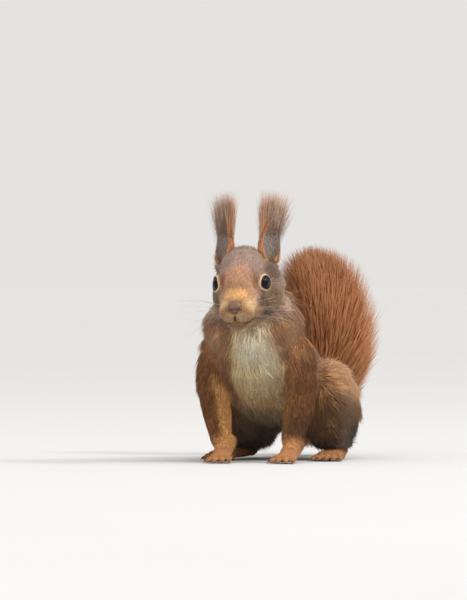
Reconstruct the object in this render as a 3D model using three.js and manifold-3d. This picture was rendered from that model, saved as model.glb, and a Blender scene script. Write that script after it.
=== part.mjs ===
// A red squirrel at life size, standing on straight forelegs with its haunches down and its tail
// raised behind it. Each solid is drawn out to the tips of the coat.
// Units are millimetres. +Z is up, the animal faces -Y, and its left side is towards +X.
import * as THREE from "three";
import { mergeVertices } from "three/addons/utils/BufferGeometryUtils.js";
import Module from "manifold-3d";

const wasm = await Module();
wasm.setup();

// ---- Driving dimensions -------------------------------------------------------------------------

const GAP = 0.3; // between two solids that meet
const CLEARANCE = 0.6; // of the haunches over the floor
const SIDES = [
  { name: "left", sign: 1 },
  { name: "right", sign: -1 },
];

const HEAD = {
  eyeLine: [-4.7, -46, 95.0], // the point midway between the eyes, and the head's own origin
  pitch: 11, // degrees, nose down
  yaw: 5, // degrees, towards the animal's left
  roll: -1.6, // degrees, right side down
};
const EYE = { radius: 4.9, apart: 20 };
const NOSE = { at: [0, -24.2, -7.6], size: [3.3, 2.3, 2.5] };
const EAR = {
  base: [12.0, 18, 6.5], // of the left one, in the head's own frame
  lean: 13, // degrees back from the head's own vertical
  splay: { left: 8, right: 1 }, // degrees outwards
  facing: 45, // degrees that the opening turns out from straight ahead
};
const LEAN = { by: -5, height: 50 }; // how far the chest leans to the right, and where it is full
const FORE_DIGIT = { count: 4, length: 8, radius: 1.7, spread: 13, claw: 3.2 };
const HIND_DIGIT = { count: 5, length: 12, radius: 1.9, spread: 9, claw: 4.2 };
const TAIL_CUTS = [0.3, 0.66]; // shares of the tail's length

const COLOURS = {
  back: 0x8a5f3e,
  head: 0x9a7152,
  ear: 0x7d5238,
  foreleg: 0x94643d,
  hindleg: 0x7b5335,
  paw: 0xa87044,
  tail: 0x93522b,
  nose: 0x6f4c40,
  eye: 0x14100e,
};

// ---- Stations -----------------------------------------------------------------------------------
// A station is one ring of a loft: [x, y, z, half width, half height above, half height below, taper].
// A taper narrows the ring's upper side and widens its lower side by that share.

// In the head's own frame, from the nose to the back of the skull.
const SKULL = [
  [0, -25.0, -8.4, 3.8, 3.4, 3.6, 0.0],
  [0, -22.0, -9.6, 6.8, 6.6, 6.6, 0.08],
  [0, -16.5, -10.6, 9.0, 11.6, 11.0, 0.06],
  [0, -8.0, -9.8, 11.6, 17.4, 13.4, 0.06],
  [0, 0.0, -8.4, 14.8, 22.0, 15.4, 0.06],
  [0, 8.0, -6.8, 17.2, 24.0, 17.0, 0.08],
  [0, 17.0, -5.4, 18.6, 23.0, 17.6, 0.08],
  [0, 26.0, -4.4, 18.4, 18.6, 17.0, 0.06],
  [0, 34.0, -4.4, 15.4, 12.6, 14.2, 0.0],
];

// From the throat and nape, down the body and back to the root of the tail.
const TORSO = [
  [-5.2, -24.0, 96.5, 18.5, 16.0, 15.0, 0],
  [-5.2, -19.0, 87.0, 22.5, 19.5, 20.5, 0],
  [-5.2, -13.5, 74.5, 25.0, 22.5, 27.0, 0.02],
  [-5.0, -4.5, 61.5, 25.5, 25.5, 30.0, 0.04],
  [-4.0, 10.0, 51.0, 25.0, 28.0, 31.0, 0.12],
  [-2.0, 28.0, 43.0, 25.0, 28.5, 27.5, 0.14],
  [-1.0, 47.0, 35.5, 23.0, 25.5, 22.0, 0.12],
  [-0.6, 62.5, 28.0, 17.5, 19.0, 15.5, 0.05],
  [-0.5, 73.0, 21.5, 12.0, 12.0, 10.5, 0],
];
const NECK_CUT = 0.2; // share of the torso's length where the neck ends

// Limbs are given for the left side.
const FORELEG = [
  [13.0, -9.0, 70.0, 7.0, 8.0, 8.0, 0],
  [21.0, -12.0, 61.0, 9.6, 10.5, 10.0, 0],
  [23.4, -14.0, 48.0, 10.0, 10.8, 10.4, 0],
  [23.4, -16.0, 36.0, 9.4, 10.4, 9.6, 0],
  [22.0, -20.5, 26.0, 8.4, 8.8, 8.2, 0],
  [20.2, -25.5, 17.0, 6.8, 6.8, 6.2, 0],
  [18.8, -29.5, 8.8, 5.6, 5.2, 5.0, 0],
  [18.4, -30.8, 5.6, 5.2, 4.6, 4.6, 0],
];
const ELBOW_CUT = 0.46; // shares of the foreleg's length
const WRIST_CUT = 0.94;
const FOREPAW = [
  [17.4, -41.0, 3.2, 6.6, 2.6, 3.8, 0],
  [18.0, -34.0, 5.2, 6.2, 4.0, 6.2, 0],
  [18.4, -27.5, 7.0, 5.0, 4.2, 5.6, 0],
];
const THIGH = [
  [25.5, 6.0, 21.0, 7.0, 10.0, 10.0, 0],
  [25.0, 13.0, 24.0, 12.0, 18.0, 15.0, 0],
  [23.6, 24.0, 27.5, 15.4, 25.5, 20.5, 0.06],
  [21.8, 38.0, 28.5, 17.4, 26.5, 23.5, 0.08],
  [19.0, 51.0, 28.0, 16.6, 23.5, 22.5, 0.05],
  [15.5, 63.0, 25.5, 12.5, 16.5, 17.0, 0],
];
const SHANK = [
  [27.5, 9.0, 15.0, 7.0, 8.0, 7.0, 0],
  [29.0, 22.0, 13.0, 8.4, 8.5, 7.5, 0],
  [27.5, 40.0, 11.5, 8.4, 8.5, 7.5, 0],
  [25.5, 54.0, 10.0, 6.5, 7.0, 6.5, 0],
];
const HINDFOOT = [
  [30.0, 9.0, 3.6, 8.0, 3.4, 4.4, 0],
  [28.0, 26.0, 4.4, 6.2, 4.4, 5.2, 0],
  [26.0, 43.0, 5.0, 5.4, 5.0, 5.8, 0],
  [25.0, 55.0, 5.8, 4.4, 5.4, 6.6, 0],
];

const TAIL = [
  [-0.5, 69.0, 21.5, 10.0, 10.0, 10.0, 0],
  [0.0, 83.0, 17.5, 15.0, 13.0, 14.0, 0],
  [1.0, 97.0, 24.0, 20.5, 15.5, 17.0, 0],
  [2.0, 103.5, 45.0, 25.5, 17.5, 18.5, 0],
  [5.5, 100.0, 70.0, 31.0, 18.5, 19.5, 0],
  [3.0, 97.0, 88.0, 30.0, 17.5, 18.5, 0],
  [-2.0, 103.0, 101.0, 25.0, 15.0, 15.5, 0],
  [-6.0, 116.0, 104.0, 19.0, 12.5, 13.0, 0],
  [-8.0, 129.0, 96.0, 12.5, 9.0, 9.5, 0],
  [-9.0, 137.0, 85.0, 6.0, 5.0, 5.0, 0],
];

// In the ear's own frame, up from its base, with its opening towards -Y.
const EAR_OUTLINE = [
  [0, 0.0, -4.0, 6.2, 5.4, 4.6, 0],
  [0, 0.0, 3.0, 7.2, 4.6, 4.0, 0],
  [0, 0.5, 11.0, 7.0, 3.4, 3.0, 0],
  [0, 1.0, 18.0, 5.8, 2.8, 2.6, 0],
  [0, 1.4, 24.0, 6.2, 3.2, 3.0, 0],
  [0, 2.0, 30.5, 7.8, 3.8, 3.8, 0],
  [0, 2.4, 36.0, 6.6, 3.0, 3.0, 0],
  [0, 2.6, 40.5, 2.6, 1.4, 1.4, 0],
];
const EAR_HOLLOW = [
  [0.5, -4.8, 1.5, 3.0, 2.8, 2.6, 0],
  [0.2, -4.2, 7.0, 5.0, 3.4, 3.2, 0],
  [0, -3.2, 13.5, 4.4, 3.2, 3.0, 0],
  [0, -2.6, 20.0, 2.2, 1.8, 1.8, 0],
];

// ---- Solids -------------------------------------------------------------------------------------

const vector = (point) => new THREE.Vector3(...point);

/** A geometry as a manifold-3d solid, with its faces pointing out. */
function solid(geometry) {
  const bare = new THREE.BufferGeometry().setAttribute("position", geometry.getAttribute("position"));
  if (geometry.index) bare.setIndex(geometry.index);
  const merged = mergeVertices(bare, 1e-4);
  return new wasm.Manifold(
    new wasm.Mesh({
      numProp: 3,
      vertProperties: merged.attributes.position.array,
      triVerts: new Uint32Array(merged.index.array),
    }),
  );
}

/** The stations joined by a cubic spline, read by distance along it. */
class Line {
  constructor(stations) {
    this.distances = [0];
    for (let i = 1; i < stations.length; i++) {
      const step = vector(stations[i].slice(0, 3)).distanceTo(vector(stations[i - 1].slice(0, 3)));
      this.distances.push(this.distances[i - 1] + step);
    }
    this.length = this.distances.at(-1);
    this.spline = new THREE.CubicInterpolant(this.distances, stations.flat(), stations[0].length);
  }

  centre(distance) {
    return vector(Array.from(this.spline.evaluate(distance)).slice(0, 3));
  }

  /** The ring at a distance: its centre, direction and sizes. */
  ring(distance) {
    const step = this.length * 1e-3;
    const before = this.centre(Math.max(distance - step, 0));
    const after = this.centre(Math.min(distance + step, this.length));
    const [width, above, below, taper] = Array.from(this.spline.evaluate(distance)).slice(3);
    return { centre: this.centre(distance), along: after.sub(before).normalize(), width, above, below, taper };
  }
}

/** How far along the line each ring lies, with `caps` more of them where an end is rounded. */
function ringDistances(length, rings, caps, start, end) {
  const [low, high] = [start.cut ?? start.cap, length - (end.cut ?? end.cap)];
  const turns = Array.from({ length: caps }, (_, i) => 1 - Math.cos(((i + 1) / (caps + 1)) * (Math.PI / 2)));
  const distances = start.cap ? turns.map((share) => share * start.cap) : [];
  for (let i = 0; i <= rings; i++) distances.push(THREE.MathUtils.lerp(low, high, i / rings));
  if (end.cap) distances.push(...turns.map((share) => length - share * end.cap).reverse());
  return distances;
}

/** The share of its full size that a ring has, `inside` millimetres in from a rounded end. */
const roundness = (inside, cap) => (inside >= cap ? 1 : Math.sqrt(1 - (1 - inside / cap) ** 2));

/**
 * A closed solid of rings round a line. Each end is rounded, unless the line is cut there.
 * `cuts` are the shares of the line where this length of it starts and ends.
 * `across` is the direction of the rings' width, and `grow` is added to every half size.
 */
function loft(stations, { sides, rings, caps = 2, cuts = [0, 1], across = [1, 0, 0], grow = 0 }) {
  const line = new Line(stations);
  const ends = [line.ring(0), line.ring(line.length)];
  const [start, end] = cuts.map((share, i) => {
    const inside = (i === 0 ? share : 1 - share) * line.length;
    return inside > 0 ? { cut: inside + GAP / 2 - grow } : { cap: Math.min(ends[i].width, line.length / 3) };
  });
  const points = [];
  const addPole = (at, way) => points.push(...at.centre.addScaledVector(at.along, way * grow).toArray());
  const distances = ringDistances(line.length, rings, caps, start, end);
  addPole(line.ring(start.cut ?? 0), start.cut === undefined ? -1 : 0);
  for (const distance of distances) {
    const { centre, along, width, above, below, taper } = line.ring(distance);
    const side = vector(across).addScaledVector(along, -vector(across).dot(along)).normalize();
    const up = side.clone().cross(along);
    const full =
      (start.cap ? roundness(distance, start.cap) : 1) *
      (end.cap ? roundness(line.length - distance, end.cap) : 1);
    for (let i = 0; i < sides; i++) {
      const angle = (2 * Math.PI * i) / sides;
      const [cos, sin] = [Math.cos(angle), Math.sin(angle)];
      const x = (width * full + grow) * cos * (1 - taper * sin);
      const z = ((sin > 0 ? above : below) * full + grow) * sin;
      points.push(...centre.clone().addScaledVector(side, x).addScaledVector(up, z).toArray());
    }
  }
  addPole(line.ring(line.length - (end.cut ?? 0)), end.cut === undefined ? 1 : 0);
  return solid(ringGeometry(points, distances.length, sides));
}

/** Triangles between rings of points that lie between a first and a last pole. */
function ringGeometry(points, rings, sides) {
  const index = [];
  const last = rings * sides + 1;
  const at = (ring, i) => 1 + ring * sides + (i % sides);
  for (let i = 0; i < sides; i++) {
    index.push(0, at(0, i), at(0, i + 1));
    index.push(last, at(rings - 1, i + 1), at(rings - 1, i));
    for (let ring = 0; ring < rings - 1; ring++) {
      index.push(at(ring, i), at(ring + 1, i), at(ring + 1, i + 1));
      index.push(at(ring, i), at(ring + 1, i + 1), at(ring, i + 1));
    }
  }
  return new THREE.BufferGeometry()
    .setAttribute("position", new THREE.Float32BufferAttribute(points, 3))
    .setIndex(index);
}

/** The solid put in place by a matrix. */
const placed = (shape, matrix) => shape.transform(matrix.elements);

/** An ellipsoid of half sizes `size` round `at`. */
function ellipsoid(at, size, segments) {
  const ball = new THREE.SphereGeometry(1, ...segments);
  ball.rotateX(Math.PI / 2).scale(...size).translate(...at);
  return solid(ball);
}

/** Stations of a limb, mirrored on the right side. */
const onSide = (stations, sign) => stations.map(([x, ...rest]) => [x * sign, ...rest]);

/** Stations moved to the right with the leaning chest, not at the floor and fully from its height up. */
const leaning = (stations) =>
  stations.map(([x, y, z, ...sizes]) => [x + LEAN.by * Math.min(z / LEAN.height, 1), y, z, ...sizes]);

/** Everything over a level, as a box far larger than the animal. */
const above = (z) => solid(new THREE.BoxGeometry(600, 600, 600).translate(0, 0, z + 300));

// ---- Head ---------------------------------------------------------------------------------------

const headPose = new THREE.Matrix4()
  .makeRotationFromEuler(
    new THREE.Euler(
      THREE.MathUtils.degToRad(HEAD.pitch),
      THREE.MathUtils.degToRad(HEAD.roll),
      THREE.MathUtils.degToRad(HEAD.yaw),
      "ZYX",
    ),
  )
  .setPosition(vector(HEAD.eyeLine));

/** The eyeball on one side. */
function eye(sign, grow = 0) {
  const radius = EYE.radius + grow;
  return placed(ellipsoid([(sign * EYE.apart) / 2, 0, 0], [radius, radius, radius], [10, 8]), headPose);
}

/** The bare pad at the tip of the muzzle. */
function nose(grow = 0) {
  return placed(ellipsoid(NOSE.at, NOSE.size.map((half) => half + grow), [8, 6]), headPose);
}

const headShape = (grow = 0) => placed(loft(SKULL, { sides: 18, rings: 9, grow }), headPose);

/** The skull with sockets for the eyes and the nose pad. */
function head() {
  const cuts = [nose(GAP), ...SIDES.map(({ sign }) => eye(sign, GAP))];
  return cuts.reduce((shape, cut) => shape.subtract(cut), headShape());
}

/** One ear with the tuft at its tip, hollow in front, standing on the head. */
function ear({ name, sign }) {
  const radians = THREE.MathUtils.degToRad;
  const pose = headPose
    .clone()
    .multiply(new THREE.Matrix4().makeTranslation(sign * EAR.base[0], EAR.base[1], EAR.base[2]))
    .multiply(new THREE.Matrix4().makeRotationX(radians(-EAR.lean)))
    .multiply(new THREE.Matrix4().makeRotationY(radians(sign * EAR.splay[name])))
    .multiply(new THREE.Matrix4().makeRotationZ(radians(sign * EAR.facing)));
  const outline = loft(EAR_OUTLINE, { sides: 10, rings: 7, across: [-1, 0, 0] });
  const hollow = loft(onSide(EAR_HOLLOW, sign), { sides: 8, rings: 3, across: [-1, 0, 0] });
  return placed(outline.subtract(hollow), pose).subtract(headShape(GAP));
}

// ---- Body ---------------------------------------------------------------------------------------

const torso = (cuts, rings, grow = 0) => loft(TORSO, { sides: 20, rings, cuts, grow });
const neckShape = (grow = 0) => torso([0, NECK_CUT], 3, grow);
const trunk = (grow = 0) => torso([NECK_CUT, 1], 9, grow);
const wholeTorso = neckShape(GAP).add(trunk(GAP));

const neck = () => neckShape().subtract(headShape(GAP));

/** The digits of a paw, fanned out from its knuckles, each with its claw. */
function digits(paw, sign, digit) {
  const [x, y, z, width] = paw[0];
  const reach = Array.from({ length: digit.count }, (_, i) => (2 * i) / (digit.count - 1) - 1);
  return reach.map((across) => {
    const turn = THREE.MathUtils.degToRad(across * digit.spread) * sign;
    const along = (distance, height, radius) => [
      sign * (x + across * (width - digit.radius)) + Math.sin(turn) * distance,
      y - Math.cos(turn) * distance,
      height,
      radius,
      radius,
      radius,
      0,
    ];
    const back = digit.length * (0.2 * across * across); // the outer digits start further back
    const toe = [
      along(-2 - back, z, digit.radius),
      along(digit.length * 0.5 - back, z * 0.6, digit.radius),
      along(digit.length - back, digit.radius * 0.5, digit.radius * 0.9),
    ];
    const claw = [
      along(digit.length - 1.5 - back, digit.radius, 0.8),
      along(digit.length + digit.claw * 0.6 - back, digit.radius * 0.9, 0.6),
      along(digit.length + digit.claw - back, 0.35, 0.3),
    ];
    return loft(toe, { sides: 5, rings: 1, caps: 1 }).add(loft(claw, { sides: 4, rings: 1, caps: 0 }));
  });
}

/** A paw with its digits, flat underneath where it stands. */
function paw(stations, sign, digit) {
  return digits(stations, sign, digit)
    .reduce((shape, toe) => shape.add(toe), palm(stations, sign))
    .intersect(above(0));
}

const palm = (stations, sign, grow = 0) => loft(onSide(stations, sign), { sides: 10, rings: 3, grow });
const foreleg = (sign, cuts, grow = 0) =>
  loft(leaning(onSide(FORELEG, sign)), { sides: 14, rings: 5, cuts, grow });
const upperArm = (sign) => foreleg(sign, [0, ELBOW_CUT]).subtract(wholeTorso);
const forearm = (sign) => foreleg(sign, [ELBOW_CUT, WRIST_CUT]).subtract(wholeTorso);
const forepaw = (sign) => paw(FOREPAW, sign, FORE_DIGIT).subtract(foreleg(sign, [0, WRIST_CUT], GAP));
const hindfoot = (sign) => paw(HINDFOOT, sign, HIND_DIGIT);
const shankShape = (sign, grow = 0) => loft(onSide(SHANK, sign), { sides: 8, rings: 3, grow });
const tail = (cuts) => loft(TAIL, { sides: 18, rings: 6, cuts });

/** A part of the hind leg, cut where the trunk and the parts below it are, and clear of the floor. */
const hindPart = (shape, cuts) =>
  [wholeTorso, ...cuts].reduce((part, cut) => part.subtract(cut), shape).intersect(above(CLEARANCE));

function thigh(sign) {
  const cuts = [shankShape(sign, GAP), palm(HINDFOOT, sign, GAP)];
  return hindPart(loft(onSide(THIGH, sign), { sides: 12, rings: 6 }), cuts);
}

const shank = (sign) => hindPart(shankShape(sign), [palm(HINDFOOT, sign, GAP)]);

// ---- Nodes --------------------------------------------------------------------------------------

const material = (colour, roughness = 0.85) =>
  new THREE.MeshStandardMaterial({ color: colour, roughness, metalness: 0 });

/** The largest body of a solid as a named mesh: cuts can leave crumbs beside it. */
function node(name, shape, colour, roughness) {
  const bodies = shape.decompose().sort((a, b) => b.volume() - a.volume());
  const { vertProperties, triVerts } = bodies[0].getMesh();
  const geometry = new THREE.BufferGeometry()
    .setAttribute("position", new THREE.BufferAttribute(vertProperties, 3))
    .setIndex(new THREE.BufferAttribute(triVerts, 1));
  geometry.computeVertexNormals();
  const mesh = new THREE.Mesh(geometry, material(colour, roughness));
  mesh.name = name;
  return mesh;
}

const squirrel = new THREE.Group();
squirrel.add(node("head", head(), COLOURS.head));
squirrel.add(node("nose", nose(), COLOURS.nose, 0.5));
squirrel.add(node("neck", neck(), COLOURS.back));
squirrel.add(node("trunk", trunk(), COLOURS.back));
for (const { name, sign } of SIDES) {
  squirrel.add(node(`eye_${name}`, eye(sign), COLOURS.eye, 0.08));
  squirrel.add(node(`ear_${name}`, ear({ name, sign }), COLOURS.ear));
  squirrel.add(node(`upper_arm_${name}`, upperArm(sign), COLOURS.foreleg));
  squirrel.add(node(`forearm_${name}`, forearm(sign), COLOURS.foreleg));
  squirrel.add(node(`forepaw_${name}`, forepaw(sign), COLOURS.paw));
  squirrel.add(node(`thigh_${name}`, thigh(sign), COLOURS.hindleg));
  squirrel.add(node(`shank_${name}`, shank(sign), COLOURS.hindleg));
  squirrel.add(node(`hindfoot_${name}`, hindfoot(sign), COLOURS.paw));
}
const tailEnds = [0, ...TAIL_CUTS, 1];
["base", "middle", "tip"].forEach((name, i) => {
  const piece = tail([tailEnds[i], tailEnds[i + 1]]).subtract(wholeTorso);
  squirrel.add(node(`tail_${name}`, piece, COLOURS.tail));
});

// The origin is on the floor, under the middle of the animal's bounding box.
const middle = new THREE.Box3().setFromObject(squirrel).getCenter(new THREE.Vector3());
squirrel.position.set(-middle.x, -middle.y, 0);

export default squirrel;
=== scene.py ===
"""Looks of a life-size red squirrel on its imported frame: skin, coat of solid tufts, eyes, nose, claws, whiskers.

Shapes are worked out in millimetres on the animal's own table: +Z is up, it faces -Y, its left is towards +X.
"""

import logging
import math
from collections.abc import Iterator
from contextlib import contextmanager
from dataclasses import dataclass
from enum import Enum
from itertools import product

import bpy
import numpy as np
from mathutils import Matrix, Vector


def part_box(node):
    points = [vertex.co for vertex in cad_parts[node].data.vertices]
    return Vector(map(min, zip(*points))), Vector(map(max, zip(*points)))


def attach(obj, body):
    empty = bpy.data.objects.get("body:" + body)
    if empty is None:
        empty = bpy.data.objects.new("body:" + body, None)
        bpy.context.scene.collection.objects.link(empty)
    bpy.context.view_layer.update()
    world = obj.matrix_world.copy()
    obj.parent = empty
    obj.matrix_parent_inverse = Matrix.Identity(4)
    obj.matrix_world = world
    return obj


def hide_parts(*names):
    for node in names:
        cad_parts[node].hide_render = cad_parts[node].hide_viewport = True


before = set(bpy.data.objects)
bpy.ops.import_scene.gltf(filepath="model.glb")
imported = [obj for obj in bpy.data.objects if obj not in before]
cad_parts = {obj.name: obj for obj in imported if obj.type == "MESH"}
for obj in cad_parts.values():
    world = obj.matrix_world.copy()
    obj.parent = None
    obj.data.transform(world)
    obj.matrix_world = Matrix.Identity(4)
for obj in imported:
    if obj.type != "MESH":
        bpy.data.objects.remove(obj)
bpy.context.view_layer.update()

Array = np.ndarray
Piece = bpy.types.Object
Tree = bpy.types.NodeTree
LOG = logging.getLogger("squirrel")
MM = 0.001
SIDES = {"left": 1, "right": -1}
SAME_PLACE = 1e-6  # metres between points that are taken as one
BODY = "root"
TINT = "tint"  # the colour attribute that skin and coat read
BAKE_MAP = "OFBake"


# ---- Numbers and places ----


def ramp(value: Array, low: float, high: float) -> Array:
    """A smooth rise from 0 at low to 1 at high."""
    t = np.clip((value - low) / (high - low), 0.0, 1.0)
    return t * t * (3.0 - 2.0 * t)


def unit(vectors: Array) -> Array:
    """The vectors at length 1."""
    return vectors / np.maximum(np.linalg.norm(vectors, axis=-1, keepdims=True), 1e-12)


def dots(a: Array, b: Array) -> Array:
    """The dot product of each row."""
    return np.sum(a * b, axis=-1)


def flat_on(vectors: Array, normals: Array) -> Array:
    """What is left of the vectors when they are laid on surfaces with these normals."""
    return vectors - normals * dots(vectors, normals)[..., None]


def turned(axis: int, degrees: float) -> Array:
    """The matrix that turns about an axis: 0 is X, 1 is Y and 2 is Z.

    Args:
        axis: 0 for X, 1 for Y and 2 for Z.
        degrees: how far it turns.

    Returns:
        The matrix.
    """
    c, s = math.cos(math.radians(degrees)), math.sin(math.radians(degrees))
    i, j = (axis + 1) % 3, (axis + 2) % 3
    m = np.eye(3)
    m[i, i] = m[j, j] = c
    m[i, j], m[j, i] = -s, s
    return m


def mottle(points: Array, size: float, seed: int) -> Array:
    """Smooth noise from -1 to 1.

    Args:
        points: places in millimetres.
        size: how far apart its lumps are.
        seed: picks one of many such fields.

    Returns:
        One value for each point.
    """
    cell = np.floor(points / size).astype(np.int64)
    local = points / size - cell
    local = local * local * (3.0 - 2.0 * local)
    total = np.zeros(len(points))
    for corner in product((0, 1), repeat=3):
        c = cell + np.array(corner)
        mixed = (c[:, 0] * 73856093) ^ (c[:, 1] * 19349663) ^ (c[:, 2] * 83492791) ^ (seed * 7919)
        mixed = (mixed ^ (mixed >> 13)) * 1274126177
        mixed = (mixed ^ (mixed >> 16)) & 0xFFFFFF
        weight = np.prod(np.where(np.array(corner) == 1, local, 1.0 - local), axis=1)
        total += weight * mixed / 0xFFFFFF
    return total * 2.0 - 1.0


def blob(points: Array, centre: tuple[float, ...], size: tuple[float, ...], soft: float = 0.35) -> Array:
    """1 inside an ellipsoid and 0 outside it, with an edge that is soft by that share of its size."""
    away = np.linalg.norm((points - np.array(centre)) / np.array(size), axis=1)
    return 1.0 - ramp(away, 1.0 - soft, 1.0 + soft)


def line_gap(points: Array, line: list[tuple[float, ...]]) -> Array:
    """How far each point is from a line of points.

    Args:
        points: places on the table.
        line: the line's points.

    Returns:
        A distance for each point.
    """
    best = np.full(len(points), np.inf)
    knots = np.array(line, float)
    for a, b in zip(knots[:-1], knots[1:]):
        step = b - a
        t = np.clip((points - a) @ step / (step @ step), 0.0, 1.0)
        best = np.minimum(best, np.linalg.norm(points - a - t[:, None] * step, axis=1))
    return best


def groove(points: Array, line: list[tuple[float, ...]], width: float) -> Array:
    """1 on a line of points, falling off smoothly over that width."""
    return np.exp(-((line_gap(points, line) / width) ** 2))


def curve_through(knots: Array, count: int) -> Array:
    """Rows spaced evenly along a smooth curve through the knots' rows.

    Args:
        knots: rows of any width.
        count: how many rows to make.

    Returns:
        The new rows.
    """
    knots = np.asarray(knots, float)
    t = np.linspace(0, len(knots) - 1, count)
    i = np.clip(t.astype(int), 0, len(knots) - 2)
    f = (t - i)[:, None]
    p, a, b, q = knots[np.maximum(i - 1, 0)], knots[i], knots[i + 1], knots[np.minimum(i + 2, len(knots) - 1)]
    return 0.5 * (2 * a + (b - p) * f + (2 * p - 5 * a + 4 * b - q) * f**2 + (3 * a - p - 3 * b + q) * f**3)


def areas(corners: Array) -> Array:
    """The area of each triangle, from its three corners."""
    return np.linalg.norm(np.cross(corners[:, 1] - corners[:, 0], corners[:, 2] - corners[:, 0]), axis=1) / 2


def drawn(reach: Array, count: int, rng: np.random.Generator) -> Array:
    """Draws elements evenly by weight.

    Args:
        reach: the running total of the elements' weights.
        count: how many to draw.
        rng: the source of chance.

    Returns:
        The number of the element that each draw falls on.
    """
    pick = np.searchsorted(reach, (np.arange(count) + rng.random(count)) * reach[-1] / count)
    return np.minimum(pick, len(reach) - 1)


@dataclass(frozen=True)
class Pose:
    """A place and a turn, from a part's own millimetres to the table's."""

    turn: Array
    origin: Array

    def out(self, points: Array) -> Array:
        """Points of the part, on the table."""
        return np.asarray(points, float) @ self.turn.T + self.origin

    def into(self, points: Array) -> Array:
        """Points of the table, in the part's own frame."""
        return (np.asarray(points, float) - self.origin) @ self.turn

    def along(self, vectors: Array) -> Array:
        """Directions of the part, on the table."""
        return np.asarray(vectors, float) @ self.turn.T

    def then(self, turn: Array, origin: tuple[float, float, float]) -> "Pose":
        """A pose inside this one."""
        return Pose(self.turn @ turn, self.out(np.array(origin, float)))


EYE_LINE = np.array([-4.7, -46.0, 95.0])  # midway between the eyes, and the head's own origin
HEAD = Pose(turned(2, 5.0) @ turned(1, -1.6) @ turned(0, 11.0), EYE_LINE)
EYE_APART = 20.7
EYE_RADIUS = 4.9
EYE_OPENING = 40.5  # degrees from the eye's own axis to the edge of its lids, but for the corners
EYE_TURN = 61.0  # degrees between an eye's axis and the nose's
EYE_SIGHT = 9.5  # how far from the eyeball's middle its lids reach at most
EAR_SPLAY = {"left": 8.0, "right": 1.0}
EAR_GIRTH = 9.0  # half the width of the space that belongs to an ear
TAIL_START = 84.0  # where on Y the brush takes over from the coat
TAIL_LINE = [  # x, y, z and radius of the tail's flesh, from the rump to its tip
    (-0.5, 62, 26, 8.0), (-0.3, 76, 19.5, 6.2), (0.5, 88, 18.8, 5.2), (1.2, 97, 26, 4.8), (2, 103, 45, 4.5),
    (5, 100, 70, 4.2), (3, 97.5, 87, 3.8), (-2, 103, 100, 3.2), (-6, 115, 103.5, 2.6), (-8, 127, 97, 1.8),
]  # fmt: skip
HOCK_LINE = [(27, 28, 7.8, 3.2), (26.5, 40, 8.4, 3.6), (25.5, 50, 8.8, 3.8)]  # the flesh between foot and shank
PHILTRUM = [(0, -26.6, -10.0), (0, -25.6, -12.5), (-0.2, -23.0, -16.4), (-0.5, -21.5, -18.0)]
MOUTH = [
    PHILTRUM,
    [(-0.3, -22.6, -16.8), (2.8, -21.4, -17.7), (5.6, -18.4, -17.4), (7.8, -15.2, -16.4)],
    [(-0.3, -22.6, -16.8), (-2.8, -21.4, -17.7), (-5.6, -18.4, -17.4), (-7.8, -15.2, -16.4)],
]


def table_shift() -> Array:
    """How far the table lies from the frame's origin, in millimetres, as the eyes of the frame show."""
    corners = [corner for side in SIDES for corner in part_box(f"eye_{side}")]
    middle = np.mean(np.array(corners), axis=0) / MM
    return np.array([0.0, (middle - EYE_LINE)[1], 0.0])


SHIFT = table_shift()


def ear_pose(side: str) -> Pose:
    """The frame of an ear: up from its base, opening towards -Y."""
    sign = SIDES[side]
    turn = turned(0, -13.0) @ turned(1, sign * EAR_SPLAY[side]) @ turned(2, sign * 45.0)
    return HEAD.then(turn, (sign * 12.0, 18.0, 6.5))


def on_ear(local: Array) -> Array:
    """Which points of an ear's own frame belong to it and not to the head."""
    return (local[:, 2] > 0.5) & (np.abs(local[:, 0]) < EAR_GIRTH) & (np.abs(local[:, 1]) < EAR_GIRTH)


def eye_axis(side: str) -> Array:
    """The way an eye looks, on the table."""
    turn = math.radians(EYE_TURN)
    return unit(HEAD.along(np.array([SIDES[side] * math.sin(turn), -math.cos(turn), 0.18])))


def eye_centre(side: str) -> Array:
    """The middle of an eyeball, on the table."""
    return HEAD.out(np.array([SIDES[side] * EYE_APART / 2, 0.0, 0.0]))


def beyond_lids(points: Array, side: str) -> Array:
    """How many degrees each point lies outside the lids' edge as the eyeball's middle sees it, or 180 far away.

    Args:
        points: places on the table.
        side: left or right.

    Returns:
        An angle for each point, below 0 where the eye is open.
    """
    away, axis = points - eye_centre(side), eye_axis(side)
    far = np.linalg.norm(away, axis=1)
    angle = np.degrees(np.arccos(np.clip(away @ axis / np.maximum(far, 1e-9), -1, 1)))
    nose_way, up = HEAD.along(np.array([0, -1.0, 0])), HEAD.along(np.array([0, 0, 1.0]))
    nose_way, up = unit(nose_way - axis * (nose_way @ axis)), unit(up - axis * (up @ axis))
    turn = np.degrees(np.arctan2(away @ up, away @ nose_way))
    corner = 6.0 * np.exp(-(((turn + 14) / 26) ** 2)) + 3.0 * np.exp(-(((np.abs(turn) - 170) / 24) ** 2))
    return np.where(far < EYE_SIGHT, angle - EYE_OPENING - corner, 180.0)


def away_from_eye(points: Array, normals: Array, side: str) -> tuple[Array, Array]:
    """The direction along the skin that leads away from an eye, and how near the eye is from 0 to 1.

    Args:
        points: places on the table.
        normals: the surface's normals there.
        side: left or right.

    Returns:
        The direction and the nearness for each point.
    """
    away, axis = points - eye_centre(side), eye_axis(side)
    near = 1.0 - ramp(np.linalg.norm(away, axis=1), 9.0, 14.0)
    away = away - axis * (away @ axis)[:, None]
    return unit(flat_on(away, normals)), near


# ---- Meshes ----


def to_frame(points: Array) -> Array:
    """Table millimetres as the frame's metres."""
    return (points + SHIFT) * MM


def read(values: object, key: str, width: int, kind: type = float) -> Array:
    """An attribute of a mesh's elements as an array."""
    out = np.zeros(len(values) * width, kind)
    values.foreach_get(key, out)
    return out.reshape(-1, width) if width > 1 else out


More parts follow.
